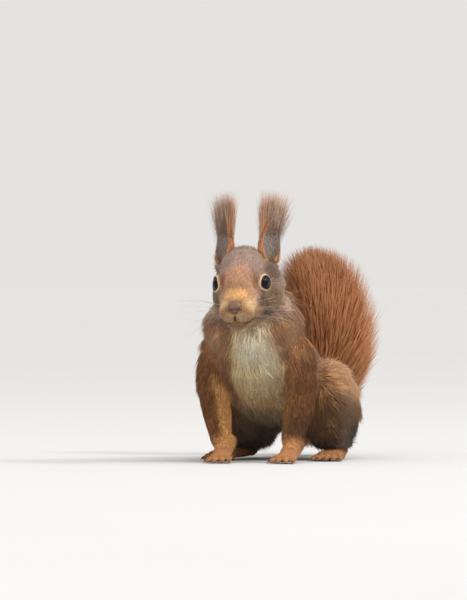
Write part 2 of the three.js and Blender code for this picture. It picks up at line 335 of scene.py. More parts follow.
def points_of(piece: Piece) -> Array:
    """A piece's vertices on the table, in millimetres."""
    return read(piece.data.vertices, "co", 3) / MM - SHIFT


def normals_of(piece: Piece) -> Array:
    """A piece's vertex normals."""
    piece.data.update()
    return read(piece.data.vertex_normals, "vector", 3)


def set_points(piece: Piece, points: Array) -> None:
    """Moves a piece's vertices to points on the table."""
    piece.data.vertices.foreach_set("co", to_frame(points).astype(np.float32).ravel())
    piece.data.update()


def triangles_of(piece: Piece) -> Array:
    """A piece's triangles as vertex numbers."""
    piece.data.calc_loop_triangles()
    return read(piece.data.loop_triangles, "vertices", 3, np.int32)


def paint(piece: Piece, colours: Array) -> None:
    """Gives each vertex of a piece its colour."""
    rows = np.column_stack([colours, np.ones(len(colours))]).astype(np.float32)
    piece.data.attributes.new(TINT, "FLOAT_COLOR", "POINT").data.foreach_set("color", rows.ravel())


def placed(name: str, data: bpy.types.ID) -> Piece:
    """A new object in the scene."""
    piece = bpy.data.objects.new(name, data)
    bpy.context.scene.collection.objects.link(piece)
    return piece


def new_piece(name: str, points: Array, faces: Array) -> Piece:
    """A smooth-shaded piece from arrays.

    Args:
        name: the piece's name.
        points: its vertices, in table millimetres.
        faces: vertex numbers, a row for each face.

    Returns:
        The new object, linked to the scene.
    """
    mesh = bpy.data.meshes.new(name)
    count, corners = faces.shape
    mesh.vertices.add(len(points))
    mesh.vertices.foreach_set("co", to_frame(points).astype(np.float32).ravel())
    mesh.loops.add(count * corners)
    mesh.loops.foreach_set("vertex_index", faces.astype(np.int32).ravel())
    mesh.polygons.add(count)
    mesh.polygons.foreach_set("loop_start", np.arange(0, count * corners, corners, dtype=np.int32))
    mesh.polygons.foreach_set("use_smooth", np.ones(count, bool))
    mesh.update(calc_edges=True)
    return placed(name, mesh)


def new_ball(name: str, segments: int, rings: int, radius: float) -> Piece:
    """A ball round the origin, with its radius in millimetres, as the start of a piece."""
    bpy.ops.object.select_all(action="DESELECT")
    bpy.ops.mesh.primitive_uv_sphere_add(segments=segments, ring_count=rings, radius=radius * MM)
    bpy.ops.object.shade_smooth()
    piece = bpy.context.active_object
    piece.name = name
    return piece


def twin_of(piece: Piece) -> Piece:
    """A copy of a piece's mesh as an object of its own."""
    return placed(piece.name + "_twin", piece.data.copy())


def discard(*pieces: Piece) -> None:
    """Removes helper objects and their meshes."""
    for piece in pieces:
        mesh = piece.data
        bpy.data.objects.remove(piece)
        bpy.data.meshes.remove(mesh)


def only(piece: Piece) -> None:
    """Selects one piece and nothing else."""
    bpy.ops.object.select_all(action="DESELECT")
    piece.select_set(True)
    bpy.context.view_layer.objects.active = piece


@contextmanager
def editing(piece: Piece, action: str = "SELECT") -> Iterator[None]:
    """Keeps one piece in edit mode, with all of it selected or deselected first."""
    only(piece)
    bpy.ops.object.mode_set(mode="EDIT")
    bpy.ops.mesh.select_all(action=action)
    yield
    bpy.ops.object.mode_set(mode="OBJECT")


@contextmanager
def editing_chosen(piece: Piece, kind: str, chosen: Array) -> Iterator[None]:
    """Keeps one piece in edit mode with the chosen elements selected.

    Args:
        piece: the piece.
        kind: VERT or FACE.
        chosen: a truth value for each vertex or face.
    """
    with editing(piece, "DESELECT"):
        bpy.ops.mesh.select_mode(type=kind)
    elements = {"VERT": piece.data.vertices, "FACE": piece.data.polygons}[kind]
    elements.foreach_set("select", chosen)
    bpy.ops.object.mode_set(mode="EDIT")
    yield
    bpy.ops.object.mode_set(mode="OBJECT")


def apply_modifier(piece: Piece, kind: str, **settings: object) -> None:
    """Adds a modifier with these settings and applies it."""
    only(piece)
    modifier = piece.modifiers.new(kind.lower(), kind)
    for key, value in settings.items():
        setattr(modifier, key, value)
    bpy.ops.object.modifier_apply(modifier=modifier.name)


def remesh(piece: Piece, voxel: float) -> None:
    """Makes one even closed surface of all that a piece holds, with quads of that size."""
    apply_modifier(piece, "REMESH", mode="VOXEL", voxel_size=voxel * MM, use_smooth_shade=True)


def soften(piece: Piece, times: int, factor: float = 0.5, weights: Array | None = None) -> None:
    """Smooths a piece's surface, all of it or by the weight of each vertex.

    Args:
        piece: the piece.
        times: how many rounds.
        factor: how strong each round is.
        weights: a share for each vertex, or None for all of it.
    """
    settings: dict[str, object] = {"iterations": times, "factor": factor}
    if weights is not None:
        group = piece.vertex_groups.new(name="soft")
        for level in np.unique(np.round(weights, 1)):
            if level > 0:
                group.add(np.where(np.round(weights, 1) == level)[0].tolist(), float(level), "REPLACE")
        settings["vertex_group"] = group.name
    apply_modifier(piece, "SMOOTH", **settings)
    if weights is not None:
        piece.vertex_groups.remove(piece.vertex_groups["soft"])


def joined(name: str, pieces: list[Piece]) -> Piece:
    """One object of several pieces.

    Args:
        name: the one object's name.
        pieces: what it is made of; the first one stays.

    Returns:
        The object.
    """
    bpy.ops.object.select_all(action="DESELECT")
    for piece in pieces:
        piece.select_set(True)
    bpy.context.view_layer.objects.active = pieces[0]
    if len(pieces) > 1:
        bpy.ops.object.join()
    pieces[0].name = name
    return pieces[0]


def fused(name: str, nodes: list[str], grow: float = 0.3) -> Piece:
    """Copies of CAD nodes as one object, each grown a little so that the cuts between them close.

    Args:
        name: the new object's name.
        nodes: the CAD nodes.
        grow: how much each grows.

    Returns:
        The new object.
    """
    copies = []
    for node in nodes:
        twin = twin_of(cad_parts[node])
        with editing(twin):
            bpy.ops.mesh.remove_doubles(threshold=SAME_PLACE)
            bpy.ops.transform.shrink_fatten(value=grow * MM)
        copies.append(twin)
    piece = joined(name, copies)
    piece.data.materials.clear()
    return piece


def quarter_faces(piece: Piece, chosen: Array) -> None:
    """Cuts the chosen faces of a piece into quarters.

    Args:
        piece: the piece.
        chosen: a truth value for each face.
    """
    with editing_chosen(piece, "FACE", chosen):
        bpy.ops.mesh.subdivide(number_cuts=1)


def drop_specks(piece: Piece, least: int = 500) -> None:
    """Deletes a piece's slivers, and its loose parts that have fewer vertices than that.

    Args:
        piece: the piece.
        least: the fewest vertices that a part may have.
    """
    with editing(piece):
        bpy.ops.mesh.dissolve_degenerate(threshold=SAME_PLACE)
    ends = read(piece.data.edges, "vertices", 2, np.int32)
    label, before = np.arange(len(piece.data.vertices)), None
    while before is None or (label != before).any():
        before = label.copy()
        low = label[ends].min(1)
        for column in ends.T:
            np.minimum.at(label, column, low)
        label = label[label]
    with editing_chosen(piece, "VERT", np.bincount(label)[label] < least):
        bpy.ops.mesh.delete(type="VERT")


def tube(path: Array, radii: Array, sides: int, rounded: bool = False) -> tuple[Array, Array]:
    """A closed tube.

    Args:
        path: points along its middle.
        radii: its radius at each of them.
        sides: how many sides it has.
        rounded: whether its ends are half balls.

    Returns:
        Its vertices and its triangles.
    """
    if rounded:
        a = np.radians([82.0, 58.0, 30.0])
        first, last = unit(path[0] - path[1]), unit(path[-1] - path[-2])
        start = path[0] + np.sin(a)[:, None] * first * radii[0]
        end = path[-1] + np.sin(a[::-1])[:, None] * last * radii[-1]
        path = np.concatenate([start, path, end])
        radii = np.concatenate([np.cos(a) * radii[0], radii, np.cos(a[::-1]) * radii[-1]])
    along = unit(np.gradient(path, axis=0))
    guide = np.array([1.0, 0.0, 0.0]) if abs(along[0, 0]) < 0.8 else np.array([0.0, 1.0, 0.0])
    across = unit(np.cross(along, guide))
    up = np.cross(across, along)
    angle = np.arange(sides) * 2 * math.pi / sides
    rings = path[:, None] + radii[:, None, None] * (
        np.cos(angle)[None, :, None] * across[:, None] + np.sin(angle)[None, :, None] * up[:, None]
    )
    points = np.concatenate([path[:1], rings.reshape(-1, 3), path[-1:]])
    i = np.arange(sides)
    j = (i + 1) % sides
    faces = [np.stack([np.zeros(sides, int), 1 + i, 1 + j], 1)]
    for ring in range(len(path) - 1):
        a, b = 1 + ring * sides, 1 + (ring + 1) * sides
        faces += [np.stack([a + i, b + i, b + j], 1), np.stack([a + i, b + j, a + j], 1)]
    last, end = 1 + (len(path) - 1) * sides, len(points) - 1
    faces.append(np.stack([last + i, np.full(sides, end), last + j], 1))
    return points, np.concatenate(faces)


def stacked(parts: list[tuple[Array, Array]]) -> tuple[Array, Array]:
    """Several meshes as one pair of arrays.

    Args:
        parts: the vertices and faces of each.

    Returns:
        All vertices, and the faces that join them.
    """
    starts = np.cumsum([0] + [len(points) for points, _ in parts[:-1]])
    faces = [faces + start for (_, faces), start in zip(parts, starts)]
    return np.concatenate([points for points, _ in parts]), np.concatenate(faces)


# ---- The lie of the coat ----


@dataclass(frozen=True)
class Lie:
    """How the coat lies on one part of the body, in millimetres."""

    depth: float  # from the skin to the coat's outline
    length: float  # of a tuft
    width: float  # of a tuft
    density: float  # tufts to a square millimetre
    droop: float = 0.0  # how much it hangs
    fan: float = 0.0  # how far it spreads to the sides
    drift: tuple[float, float, float] | None = None  # its direction, where that isn't the bone's


@dataclass(frozen=True)
class Bone:
    """A line inside the body with its radius at each point, and the lie of the coat round it."""

    part: str
    line: Array  # x, y, z and radius in rows, in the direction that the hair runs
    lie: Lie


def mirrored(rows: list[tuple[float, ...]], sign: int, lean: bool = False) -> Array:
    """Rows of a limb on one side, with the chest's lean if it hangs from it.

    Args:
        rows: x, y, z and radius in rows.
        sign: 1 for the left side and -1 for the right.
        lean: whether the limb hangs from the chest.

    Returns:
        The rows of that side.
    """
    out = np.array(rows, float)
    out[:, 0] *= sign
    if lean:
        out[:, 0] -= 5.0 * np.clip(out[:, 2] / 50.0, 0.0, 1.0)
    return out


def head_line(rows: list[tuple[float, ...]], sign: int = 1) -> Array:
    """Rows of the head's own frame on the table."""
    local = np.array(rows, float)
    local[:, 0] *= sign
    return np.column_stack([HEAD.out(local[:, :3]), local[:, 3]])


class Anatomy:
    """The bones that say how long the coat is and where it runs."""

    SPINE = (
        ("neck", [(-5.2, -24, 96.5, 16), (-5.2, -19, 87, 20), (-5.2, -13.5, 76, 24)],
         Lie(3.6, 9.0, 0.36, 6.2, fan=0.35)),
        ("chest", [(-5.2, -12, 72, 25), (-5, -5, 62, 26), (-4.6, 4, 55, 28)],
         Lie(4.2, 11.0, 0.36, 6.0, droop=0.3, fan=0.1)),
        ("trunk", [(-4, 10, 51, 28), (-2, 28, 43, 27), (-1, 47, 35.5, 23.5)],
         Lie(4.0, 10.0, 0.42, 4.5, droop=0.2)),
        ("rump", [(-0.6, 60, 29, 18), (-0.5, 72, 21.5, 12), (0, 82, 19, 8)],
         Lie(3.4, 11.0, 0.42, 4.5)),
    )  # fmt: skip
    LIMBS = (
        ("upper_arm", True, [(13, -9, 70, 7.5), (21, -12, 61, 9.6), (23.4, -14, 46, 10.2)],
         Lie(3.2, 8.5, 0.38, 5.0, droop=0.3)),
        ("forearm", True, [(23.4, -15, 40, 9.6), (22.4, -18.5, 29, 8.6), (20.4, -25, 18, 6.8)],
         Lie(1.4, 4.4, 0.33, 6.0, droop=0.2)),
        ("wrist", True, [(19.4, -28, 12, 5.8), (18.6, -30.5, 7, 5), (18.4, -32, 5, 4.5)],
         Lie(0.9, 3.0, 0.26, 7.0)),
        ("forepaw", False, [(18.2, -33, 4.4, 5.5), (17.8, -38, 3.4, 6), (17.4, -50, 1.6, 7)],
         Lie(0.22, 1.15, 0.17, 10.5)),
        ("thigh", False, [(25.5, 6, 21, 9), (24.4, 18, 26, 17), (22, 36, 28.5, 22), (18, 55, 27.5, 19)],
         Lie(3.6, 10.5, 0.36, 6.0, drift=(0.1, 0.66, -0.75))),
        ("shank", False, [(27.5, 9, 15, 7), (29, 22, 13, 8), (26, 50, 10.5, 7)],
         Lie(1.6, 5.5, 0.34, 4.6, drift=(0.0, 0.9, -0.3))),
        ("hindfoot", False, [(25, 55, 5.8, 5), (27, 34, 4.8, 6), (30, 9, 3.4, 9), (31, -8, 1.6, 11)],
         Lie(0.3, 1.4, 0.2, 8.0)),
    )  # fmt: skip

    def __init__(self) -> None:
        """Lays out the bones of head, body and limbs."""
        self.bones = [
            Bone("muzzle", head_line([(0, -25, -8.4, 4), (0, -21, -10, 7.5), (0, -15, -10.6, 10)]),
                 Lie(0.5, 1.8, 0.2, 12.0)),
            Bone("face", head_line([(0, -12, -9, 13), (0, 0, -6, 17), (0, 8, -4, 19)]),
                 Lie(1.0, 3.0, 0.26, 8.5)),
            Bone("skull", head_line([(0, 14, -3, 20), (0, 24, -4, 18.5), (0, 34, -5, 16)]),
                 Lie(2.0, 5.0, 0.3, 7.0, fan=0.1)),
        ]  # fmt: skip
        self.bones += [Bone(part, np.array(rows, float), lie) for part, rows, lie in self.SPINE]
        for sign in SIDES.values():
            self.bones.append(Bone("cheek", head_line([(12, 2, -12, 7), (14, 10, -13, 8), (15, 20, -14, 8)], sign),
                                   Lie(2.2, 5.5, 0.3, 6.6, fan=0.3)))  # fmt: skip
            self.bones += [Bone(part, mirrored(rows, sign, lean), lie) for part, lean, rows, lie in self.LIMBS]

    def near(self, points: Array) -> tuple[Array, Array]:
        """How near each bone is to each point.

        Args:
            points: places on the table.

        Returns:
            The share of each bone at each point, and each bone's direction there.
        """
        shares, ways = [], []
        for bone in self.bones:
            best, way = np.full(len(points), np.inf), np.zeros((len(points), 3))
            middle = bone.line[:, :3]
            tangents = unit(np.gradient(middle, axis=0))
            for i in range(len(middle) - 1):
                a, step = middle[i], middle[i + 1] - middle[i]
                t = np.clip((points - a) @ step / (step @ step), 0.0, 1.0)
                radius = bone.line[i, 3] * (1 - t) + bone.line[i + 1, 3] * t
                far = np.linalg.norm(points - a - t[:, None] * step, axis=1) / radius
                closer = far < best
                best = np.where(closer, far, best)
                mixed = tangents[i] * (1 - t[:, None]) + tangents[i + 1] * t[:, None]
                way = np.where(closer[:, None], mixed, way)
            if bone.lie.drift is not None:
                way = np.tile(np.array(bone.lie.drift), (len(points), 1))
            shares.append(1.0 / (best**7 + 1e-4))
            ways.append(unit(way))
        shares = np.array(shares).T
        return shares / shares.sum(1, keepdims=True), np.stack(ways, 1)

    def lie(self, shares: Array, key: str) -> Array:
        """One of the lie's sizes, blended between the bones."""
        return shares @ np.array([getattr(bone.lie, key) for bone in self.bones])

    def part(self, shares: Array, *names: str) -> Array:
        """How far each point belongs to the named parts, from 0 to 1."""
        return shares @ np.array([float(bone.part in names) for bone in self.bones])

    def flow(self, points: Array, normals: Array, shares: Array, ways: Array) -> Array:
        """The direction that the hair runs in along the skin.

        Args:
            points: places on the skin.
            normals: the skin's normals there.
            shares: from near().
            ways: from near().

        Returns:
            Unit vectors at right angles to the normals.
        """
        way = np.einsum("nb,nbk->nk", shares, ways)
        way[:, 2] -= self.lie(shares, "droop")
        way[:, 0] += self.lie(shares, "fan") * np.clip((points[:, 0] + 5.0) / 18.0, -1.0, 1.0)
        flat = unit(flat_on(way, normals))
        for side in SIDES:
            out, near = away_from_eye(points, normals, side)
            flat = flat + out * ((0.35 - np.minimum(dots(flat, out), 0.35)) * near)[:, None]
        return unit(flat)


# ---- Markings ----


class Shade(Enum):
    """The coat's colours, in sRGB; some of them are painted light and shade."""

    CHESTNUT = (156, 102, 62)
    CHESTNUT_TIP = (206, 156, 102)
    BACK = (164, 122, 88)
    BACK_TIP = (214, 174, 134)
    ARM = (120, 76, 42)
    ARM_TIP = (180, 124, 70)
    ARM_LOW = (120, 74, 38)
    INNER_ARM = (228, 168, 98)
    TAN = (232, 170, 118)
    FROST = (244, 200, 152)
    # painted shadow low on the haunches and shanks
    DARK = (48, 36, 20)
    UMBER = (110, 76, 46)
    # painted shade under the body and between the legs
    UNDERSIDE_SHADE = (150, 130, 94)
    PAW = (214, 152, 98)
    PAW_TIP = (232, 180, 126)
    BIB_TOP = (255, 239, 208)
    BIB = (246, 208, 148)
    BIB_LOW = (206, 166, 110)
    BIB_EDGE = (148, 106, 66)
    PINK_GREY = (170, 142, 128)
    HEAD_TIP = (204, 178, 160)
    PEACH = (204, 150, 116)
    CHEEK = (130, 100, 70)
    CHEEK_TIP = (170, 136, 100)
    BEIGE = (188, 156, 130)
    UNDER_EYE = (92, 60, 32)
    # painted shade under the ears' roots
    TEMPLE_SHADE = (96, 74, 56)
    BROW = (150, 92, 46)
    ORANGE_GOLD = (160, 116, 72)
    GOLD = (246, 192, 128)
    PAD_GOLD = (240, 202, 154)
    NOSE_FUR = (204, 160, 116)
    LIP_CREAM = (190, 154, 116)
    # painted shade under the muzzle and chin
    CHIN_SHADE = (150, 116, 82)
    THROAT = (206, 174, 132)
    # painted shade on the sides of the jaw
    JAW_SHADE = (96, 68, 36)
    RING = (238, 204, 168)
    LID = (40, 28, 24)
    # painted shade in the slit under the nose and along the mouth
    MOUTH_SHADE = (72, 48, 36)
    EAR_RED = (206, 136, 88)
    EAR_HOLLOW = (174, 158, 148)
    EAR_BACK = (140, 112, 96)
    EAR_RIM = (220, 202, 184)
    EAR_GOLD = (196, 136, 84)
    TUFT = (188, 158, 138)
    RUST = (158, 98, 58)
    RUST_TIP = (186, 128, 80)
    PAD_SKIN = (150, 108, 92)

    @property
    def linear(self) -> Array:
        """The colour in linear light."""
        c = np.array(self.value) / 255.0
        return np.where(c <= 0.04045, c / 12.92, ((c + 0.055) / 1.055) ** 2.4)


Colours = tuple[Array, Array]  # the coat's colour and its tips' colour at each point


def lay(pair: Colours, mask: Array, base: Shade, tip: Shade) -> Colours:
    """Lays a colour and its tips' colour over a pair of colours where the mask says."""
    m = np.clip(mask, 0.0, 1.0)[:, None]
    return pair[0] * (1 - m) + base.linear * m, pair[1] * (1 - m) + tip.linear * m


@dataclass(frozen=True)
class Spot:
    """A soft spot of colour on the head, in the head's own frame, on both sides unless x is 0."""

    centre: tuple[float, float, float]
    size: tuple[float, float, float]
    base: Shade
    tip: Shade
    strength: float = 1.0

    def over(self, pair: Colours, places: Array, mask: Array) -> Colours:
        """Lays the spot over a pair of colours.

        Args:
            pair: the colours so far.
            places: places in the head's own frame.
            mask: how much of it shows, from 0 to 1.

        Returns:
            The new pair.
        """
        for sign in (1, -1) if self.centre[0] else (1,):
            x, y, z = self.centre
            here = blob(places, (sign * x, y, z), self.size, 0.6) * mask * self.strength
            pair = lay(pair, here, self.base, self.tip)
        return pair


class Markings:
    """The colours of skin and coat at any place."""

    HEAD_SPOTS = (
        Spot((16, 5, -11), (9, 11, 8), Shade.CHEEK, Shade.CHEEK_TIP),
        # painted shade under the ear's root
        Spot((14.8, 10.0, 4.5), (5, 7, 5), Shade.TEMPLE_SHADE, Shade.CHEEK, 0.9),
        Spot((12.4, -6.5, -9.5), (5, 6, 4), Shade.UNDER_EYE, Shade.ARM),
        Spot((9.4, -6.4, 3.0), (2.2, 3.0, 3.8), Shade.BROW, Shade.EAR_GOLD, 0.6),
        Spot((9.5, -13.2, -14.0), (5, 6, 3.0), Shade.ORANGE_GOLD, Shade.EAR_GOLD),
        # painted shade on the jaw's side, under the whiskers
        Spot((9, -3, -18), (6, 10, 4.0), Shade.JAW_SHADE, Shade.UMBER),
        Spot((7.4, -18.5, -8.4), (4.2, 5, 3.0), Shade.PAD_GOLD, Shade.GOLD),
        Spot((0, -18.6, -3.2), (7.0, 4.4, 2.8), Shade.GOLD, Shade.GOLD),
        Spot((0, -22.8, -4.6), (2.6, 2.4, 2.2), Shade.NOSE_FUR, Shade.GOLD),
        Spot((3, -24.2, -13.2), (2.6, 2.6, 2.0), Shade.LIP_CREAM, Shade.LIP_CREAM),
        # painted shade under the muzzle and chin
        Spot((0, -18, -20), (7.5, 9, 3.2), Shade.CHIN_SHADE, Shade.ORANGE_GOLD),
        Spot((0, -2, -24), (11, 18, 6), Shade.THROAT, Shade.BIB_TOP),
    )

    def __init__(self, anatomy: Anatomy) -> None:
        """Keeps the anatomy whose parts the markings follow."""
        self.anatomy = anatomy

    def at(self, points: Array, normals: Array, shares: Array) -> Colours:
        """The coat's colour and its tips' colour.

        Args:
            points: places on the skin.
            normals: the skin's normals there.
            shares: each bone's share there.

        Returns:
            Two arrays of linear colours.
        """
        plain = np.tile(Shade.CHESTNUT.linear, (len(points), 1))
        pair = (plain, np.tile(Shade.CHESTNUT_TIP.linear, (len(points), 1)))
        wave = mottle(points, 7.0, 3) * 0.5 + mottle(points, 2.4, 4) * 0.5
        for parts, base, tip in (
            (("neck", "trunk", "rump"), Shade.BACK, Shade.BACK_TIP),
            (("upper_arm",), Shade.ARM, Shade.ARM_TIP),
            (("forearm", "shank"), Shade.ARM_LOW, Shade.ARM_TIP),
            (("wrist", "forepaw", "hindfoot"), Shade.PAW, Shade.PAW_TIP),
        ):
            pair = lay(pair, self.anatomy.part(shares, *parts), base, tip)
        pair = self.body(pair, points, normals, shares, wave)
        return self.face(pair, points, shares, wave)

    def body(self, pair: Colours, points: Array, normals: Array, shares: Array, wave: Array) -> Colours:
        """The bib, belly, haunches and the inner sides of the forelegs, with painted light on the haunches' tops and
        painted shade low on the haunches, under the body, between the legs, on the left foreleg and on the lower bib.

        Args:
            pair: the colours so far.
            points: places on the table.
            normals: the surface's normals there.
            shares: each bone's share there.
            wave: smooth noise from -1 to 1.

        Returns:
            The new pair.
        """
        x, y, z = points.T
        part = self.anatomy.part
        thigh = part(shares, "thigh")
        pair = lay(pair, thigh, Shade.UMBER, Shade.ORANGE_GOLD)
        # Painted light: the haunch's top is pale tan where light falls on it.
        pair = lay(pair, thigh * ramp(z + 3 * wave + 0.25 * y, 35, 52), Shade.TAN, Shade.FROST)
        # Painted shade: the haunch and shank turn near black low down.
        low = part(shares, "thigh", "shank") * (1 - ramp(z + 3 * wave - 0.3 * y, 6, 24))
        pair = lay(pair, low, Shade.DARK, Shade.UNDER_EYE)
        # Painted shade: a dull brown between the legs, low under the body.
        shade_between_legs = (1 - ramp(np.abs(x + 3.0), 14, 24)) * (1 - ramp(z, 26, 34)) * part(shares, "thigh", "shank", "trunk")
        pair = lay(pair, shade_between_legs, Shade.CHEEK, Shade.UNDERSIDE_SHADE)
        arms = part(shares, "upper_arm", "forearm", "wrist")
        inner = ramp(-np.sign(x + 4.0) * normals[:, 0] - 0.35 * normals[:, 1], 0.3, 0.85)
        # Painted shade on the lower left forearm.
        shaded_forearm = part(shares, "forearm") * (x > 0) * (1 - ramp(z, 20, 34))
        pair = lay(pair, 0.8 * shaded_forearm, Shade.UNDER_EYE, Shade.ARM)
        pale = np.where(x < 0, 0.9, 0.2)  # painted shade: the left foreleg's pale inner strip is faint
        pair = lay(pair, arms * inner * pale * (1 - ramp(z, 48, 60)), Shade.INNER_ARM, Shade.PAW_TIP)
        ruff = blob(points, (14, -22, 66), (9, 10, 10), 0.6) + blob(points, (-24, -20, 66), (9, 10, 9), 0.6)
        pair = lay(pair, 0.4 * ruff, Shade.TAN, Shade.FROST)
        body = part(shares, "neck", "chest", "trunk")
        # Painted shade: the body's underside and its lowest part get a dull taupe.
        shaded_belly = np.maximum(ramp(-normals[:, 2], 0.2, 0.6) * (1 - ramp(z, 55, 75)), 1 - ramp(z, 27, 34))
        pair = lay(pair, body * shaded_belly, Shade.UNDERSIDE_SHADE, Shade.CHEEK_TIP)
        reach = 13.0 + 1.6 * wave - 5.0 * ramp(z, 52, 74)
        front = ramp(-normals[:, 1] - 0.1 * normals[:, 2], 0.1, 0.5) * ramp(z + 1.5 * wave, 31, 36)
        side = np.abs(x + 1.0 + 1.8 * ramp(z, 52, 74))
        edge = body * front * (1 - ramp(side, reach + 0.5, reach + 6.0))
        pair = lay(pair, edge, Shade.BIB_EDGE, Shade.EAR_GOLD)
        bib = body * front * (1 - ramp(side, reach - 3.0, reach + 2.0))
        # Near white at the top and darker beige towards the bottom: painted shade on the lower chest.
        pair = lay(pair, bib, Shade.BIB_LOW, Shade.BIB)
        pair = lay(pair, bib * ramp(z, 34, 46), Shade.BIB, Shade.BIB_TOP)
        return lay(pair, bib * ramp(z, 48, 64) * (1 - ramp(side, 5, 11)), Shade.BIB_TOP, Shade.BIB_TOP)

    def face(self, pair: Colours, points: Array, shares: Array, wave: Array) -> Colours:
        """The markings of the head, with painted shade at the temples, on the jaw and chin, and along the mouth's
        slit.

        Args:
            pair: the colours so far.
            points: places on the table.
            shares: each bone's share there.
            wave: smooth noise from -1 to 1.

        Returns:
            The new pair.
        """
        head = self.anatomy.part(shares, "muzzle", "face", "skull", "cheek")
        places = HEAD.into(points) + 0.6 * np.column_stack([wave, -wave, wave])
        x, y, z = places.T
        pair = lay(pair, head, Shade.PINK_GREY, Shade.HEAD_TIP)
        pair = lay(pair, head * ramp(y, 18, 32), Shade.CHESTNUT, Shade.CHESTNUT_TIP)
        pair = lay(pair, head * ramp(-y, 4, 8) * ramp(z, -9, -4), Shade.PEACH, Shade.HEAD_TIP)
        pair = lay(pair, head * ramp(-y, 8, 22), Shade.ORANGE_GOLD, Shade.PAD_GOLD)
        ruff = blob(places, (19, 18, -12), (8, 8, 8)) + blob(places, (-19, 18, -12), (8, 8, 8))
        pair = lay(pair, ruff, Shade.BEIGE, Shade.HEAD_TIP)
        for spot in self.HEAD_SPOTS:
            pair = spot.over(pair, places, head)
        for side in SIDES:
            beyond = beyond_lids(points, side)
            front = ramp(z - 1.2 * y, -7.0, 4.0)
            pair = lay(pair, (1 - ramp(beyond, 9, 21)) * head * (0.5 + 0.5 * front), Shade.RING, Shade.RING)
            pair = lay(pair, 1 - ramp(beyond, 3.0, 6.0), Shade.LID, Shade.LID)
        # Painted shade: a dark line along the slit under the nose and the mouth.
        gap = np.min([line_gap(HEAD.into(points), line) for line in MOUTH], axis=0)
        return lay(pair, 1 - ramp(gap, 0.45, 0.95), Shade.MOUTH_SHADE, Shade.MOUTH_SHADE)


# ---- Skin ----


@dataclass(frozen=True)
class Form:
    """A soft swelling or hollow of the head, in its own frame, on both sides or on one."""

    centre: tuple[float, float, float]
    size: tuple[float, float, float]
    rise: float
    both: bool = True

    def over(self, places: Array) -> Array:
        """How far each place rises."""
        x, y, z = self.centre
        signs = (1, -1) if x and self.both else (1,)
        return self.rise * sum(blob(places, (sign * x, y, z), self.size, 0.7) for sign in signs)


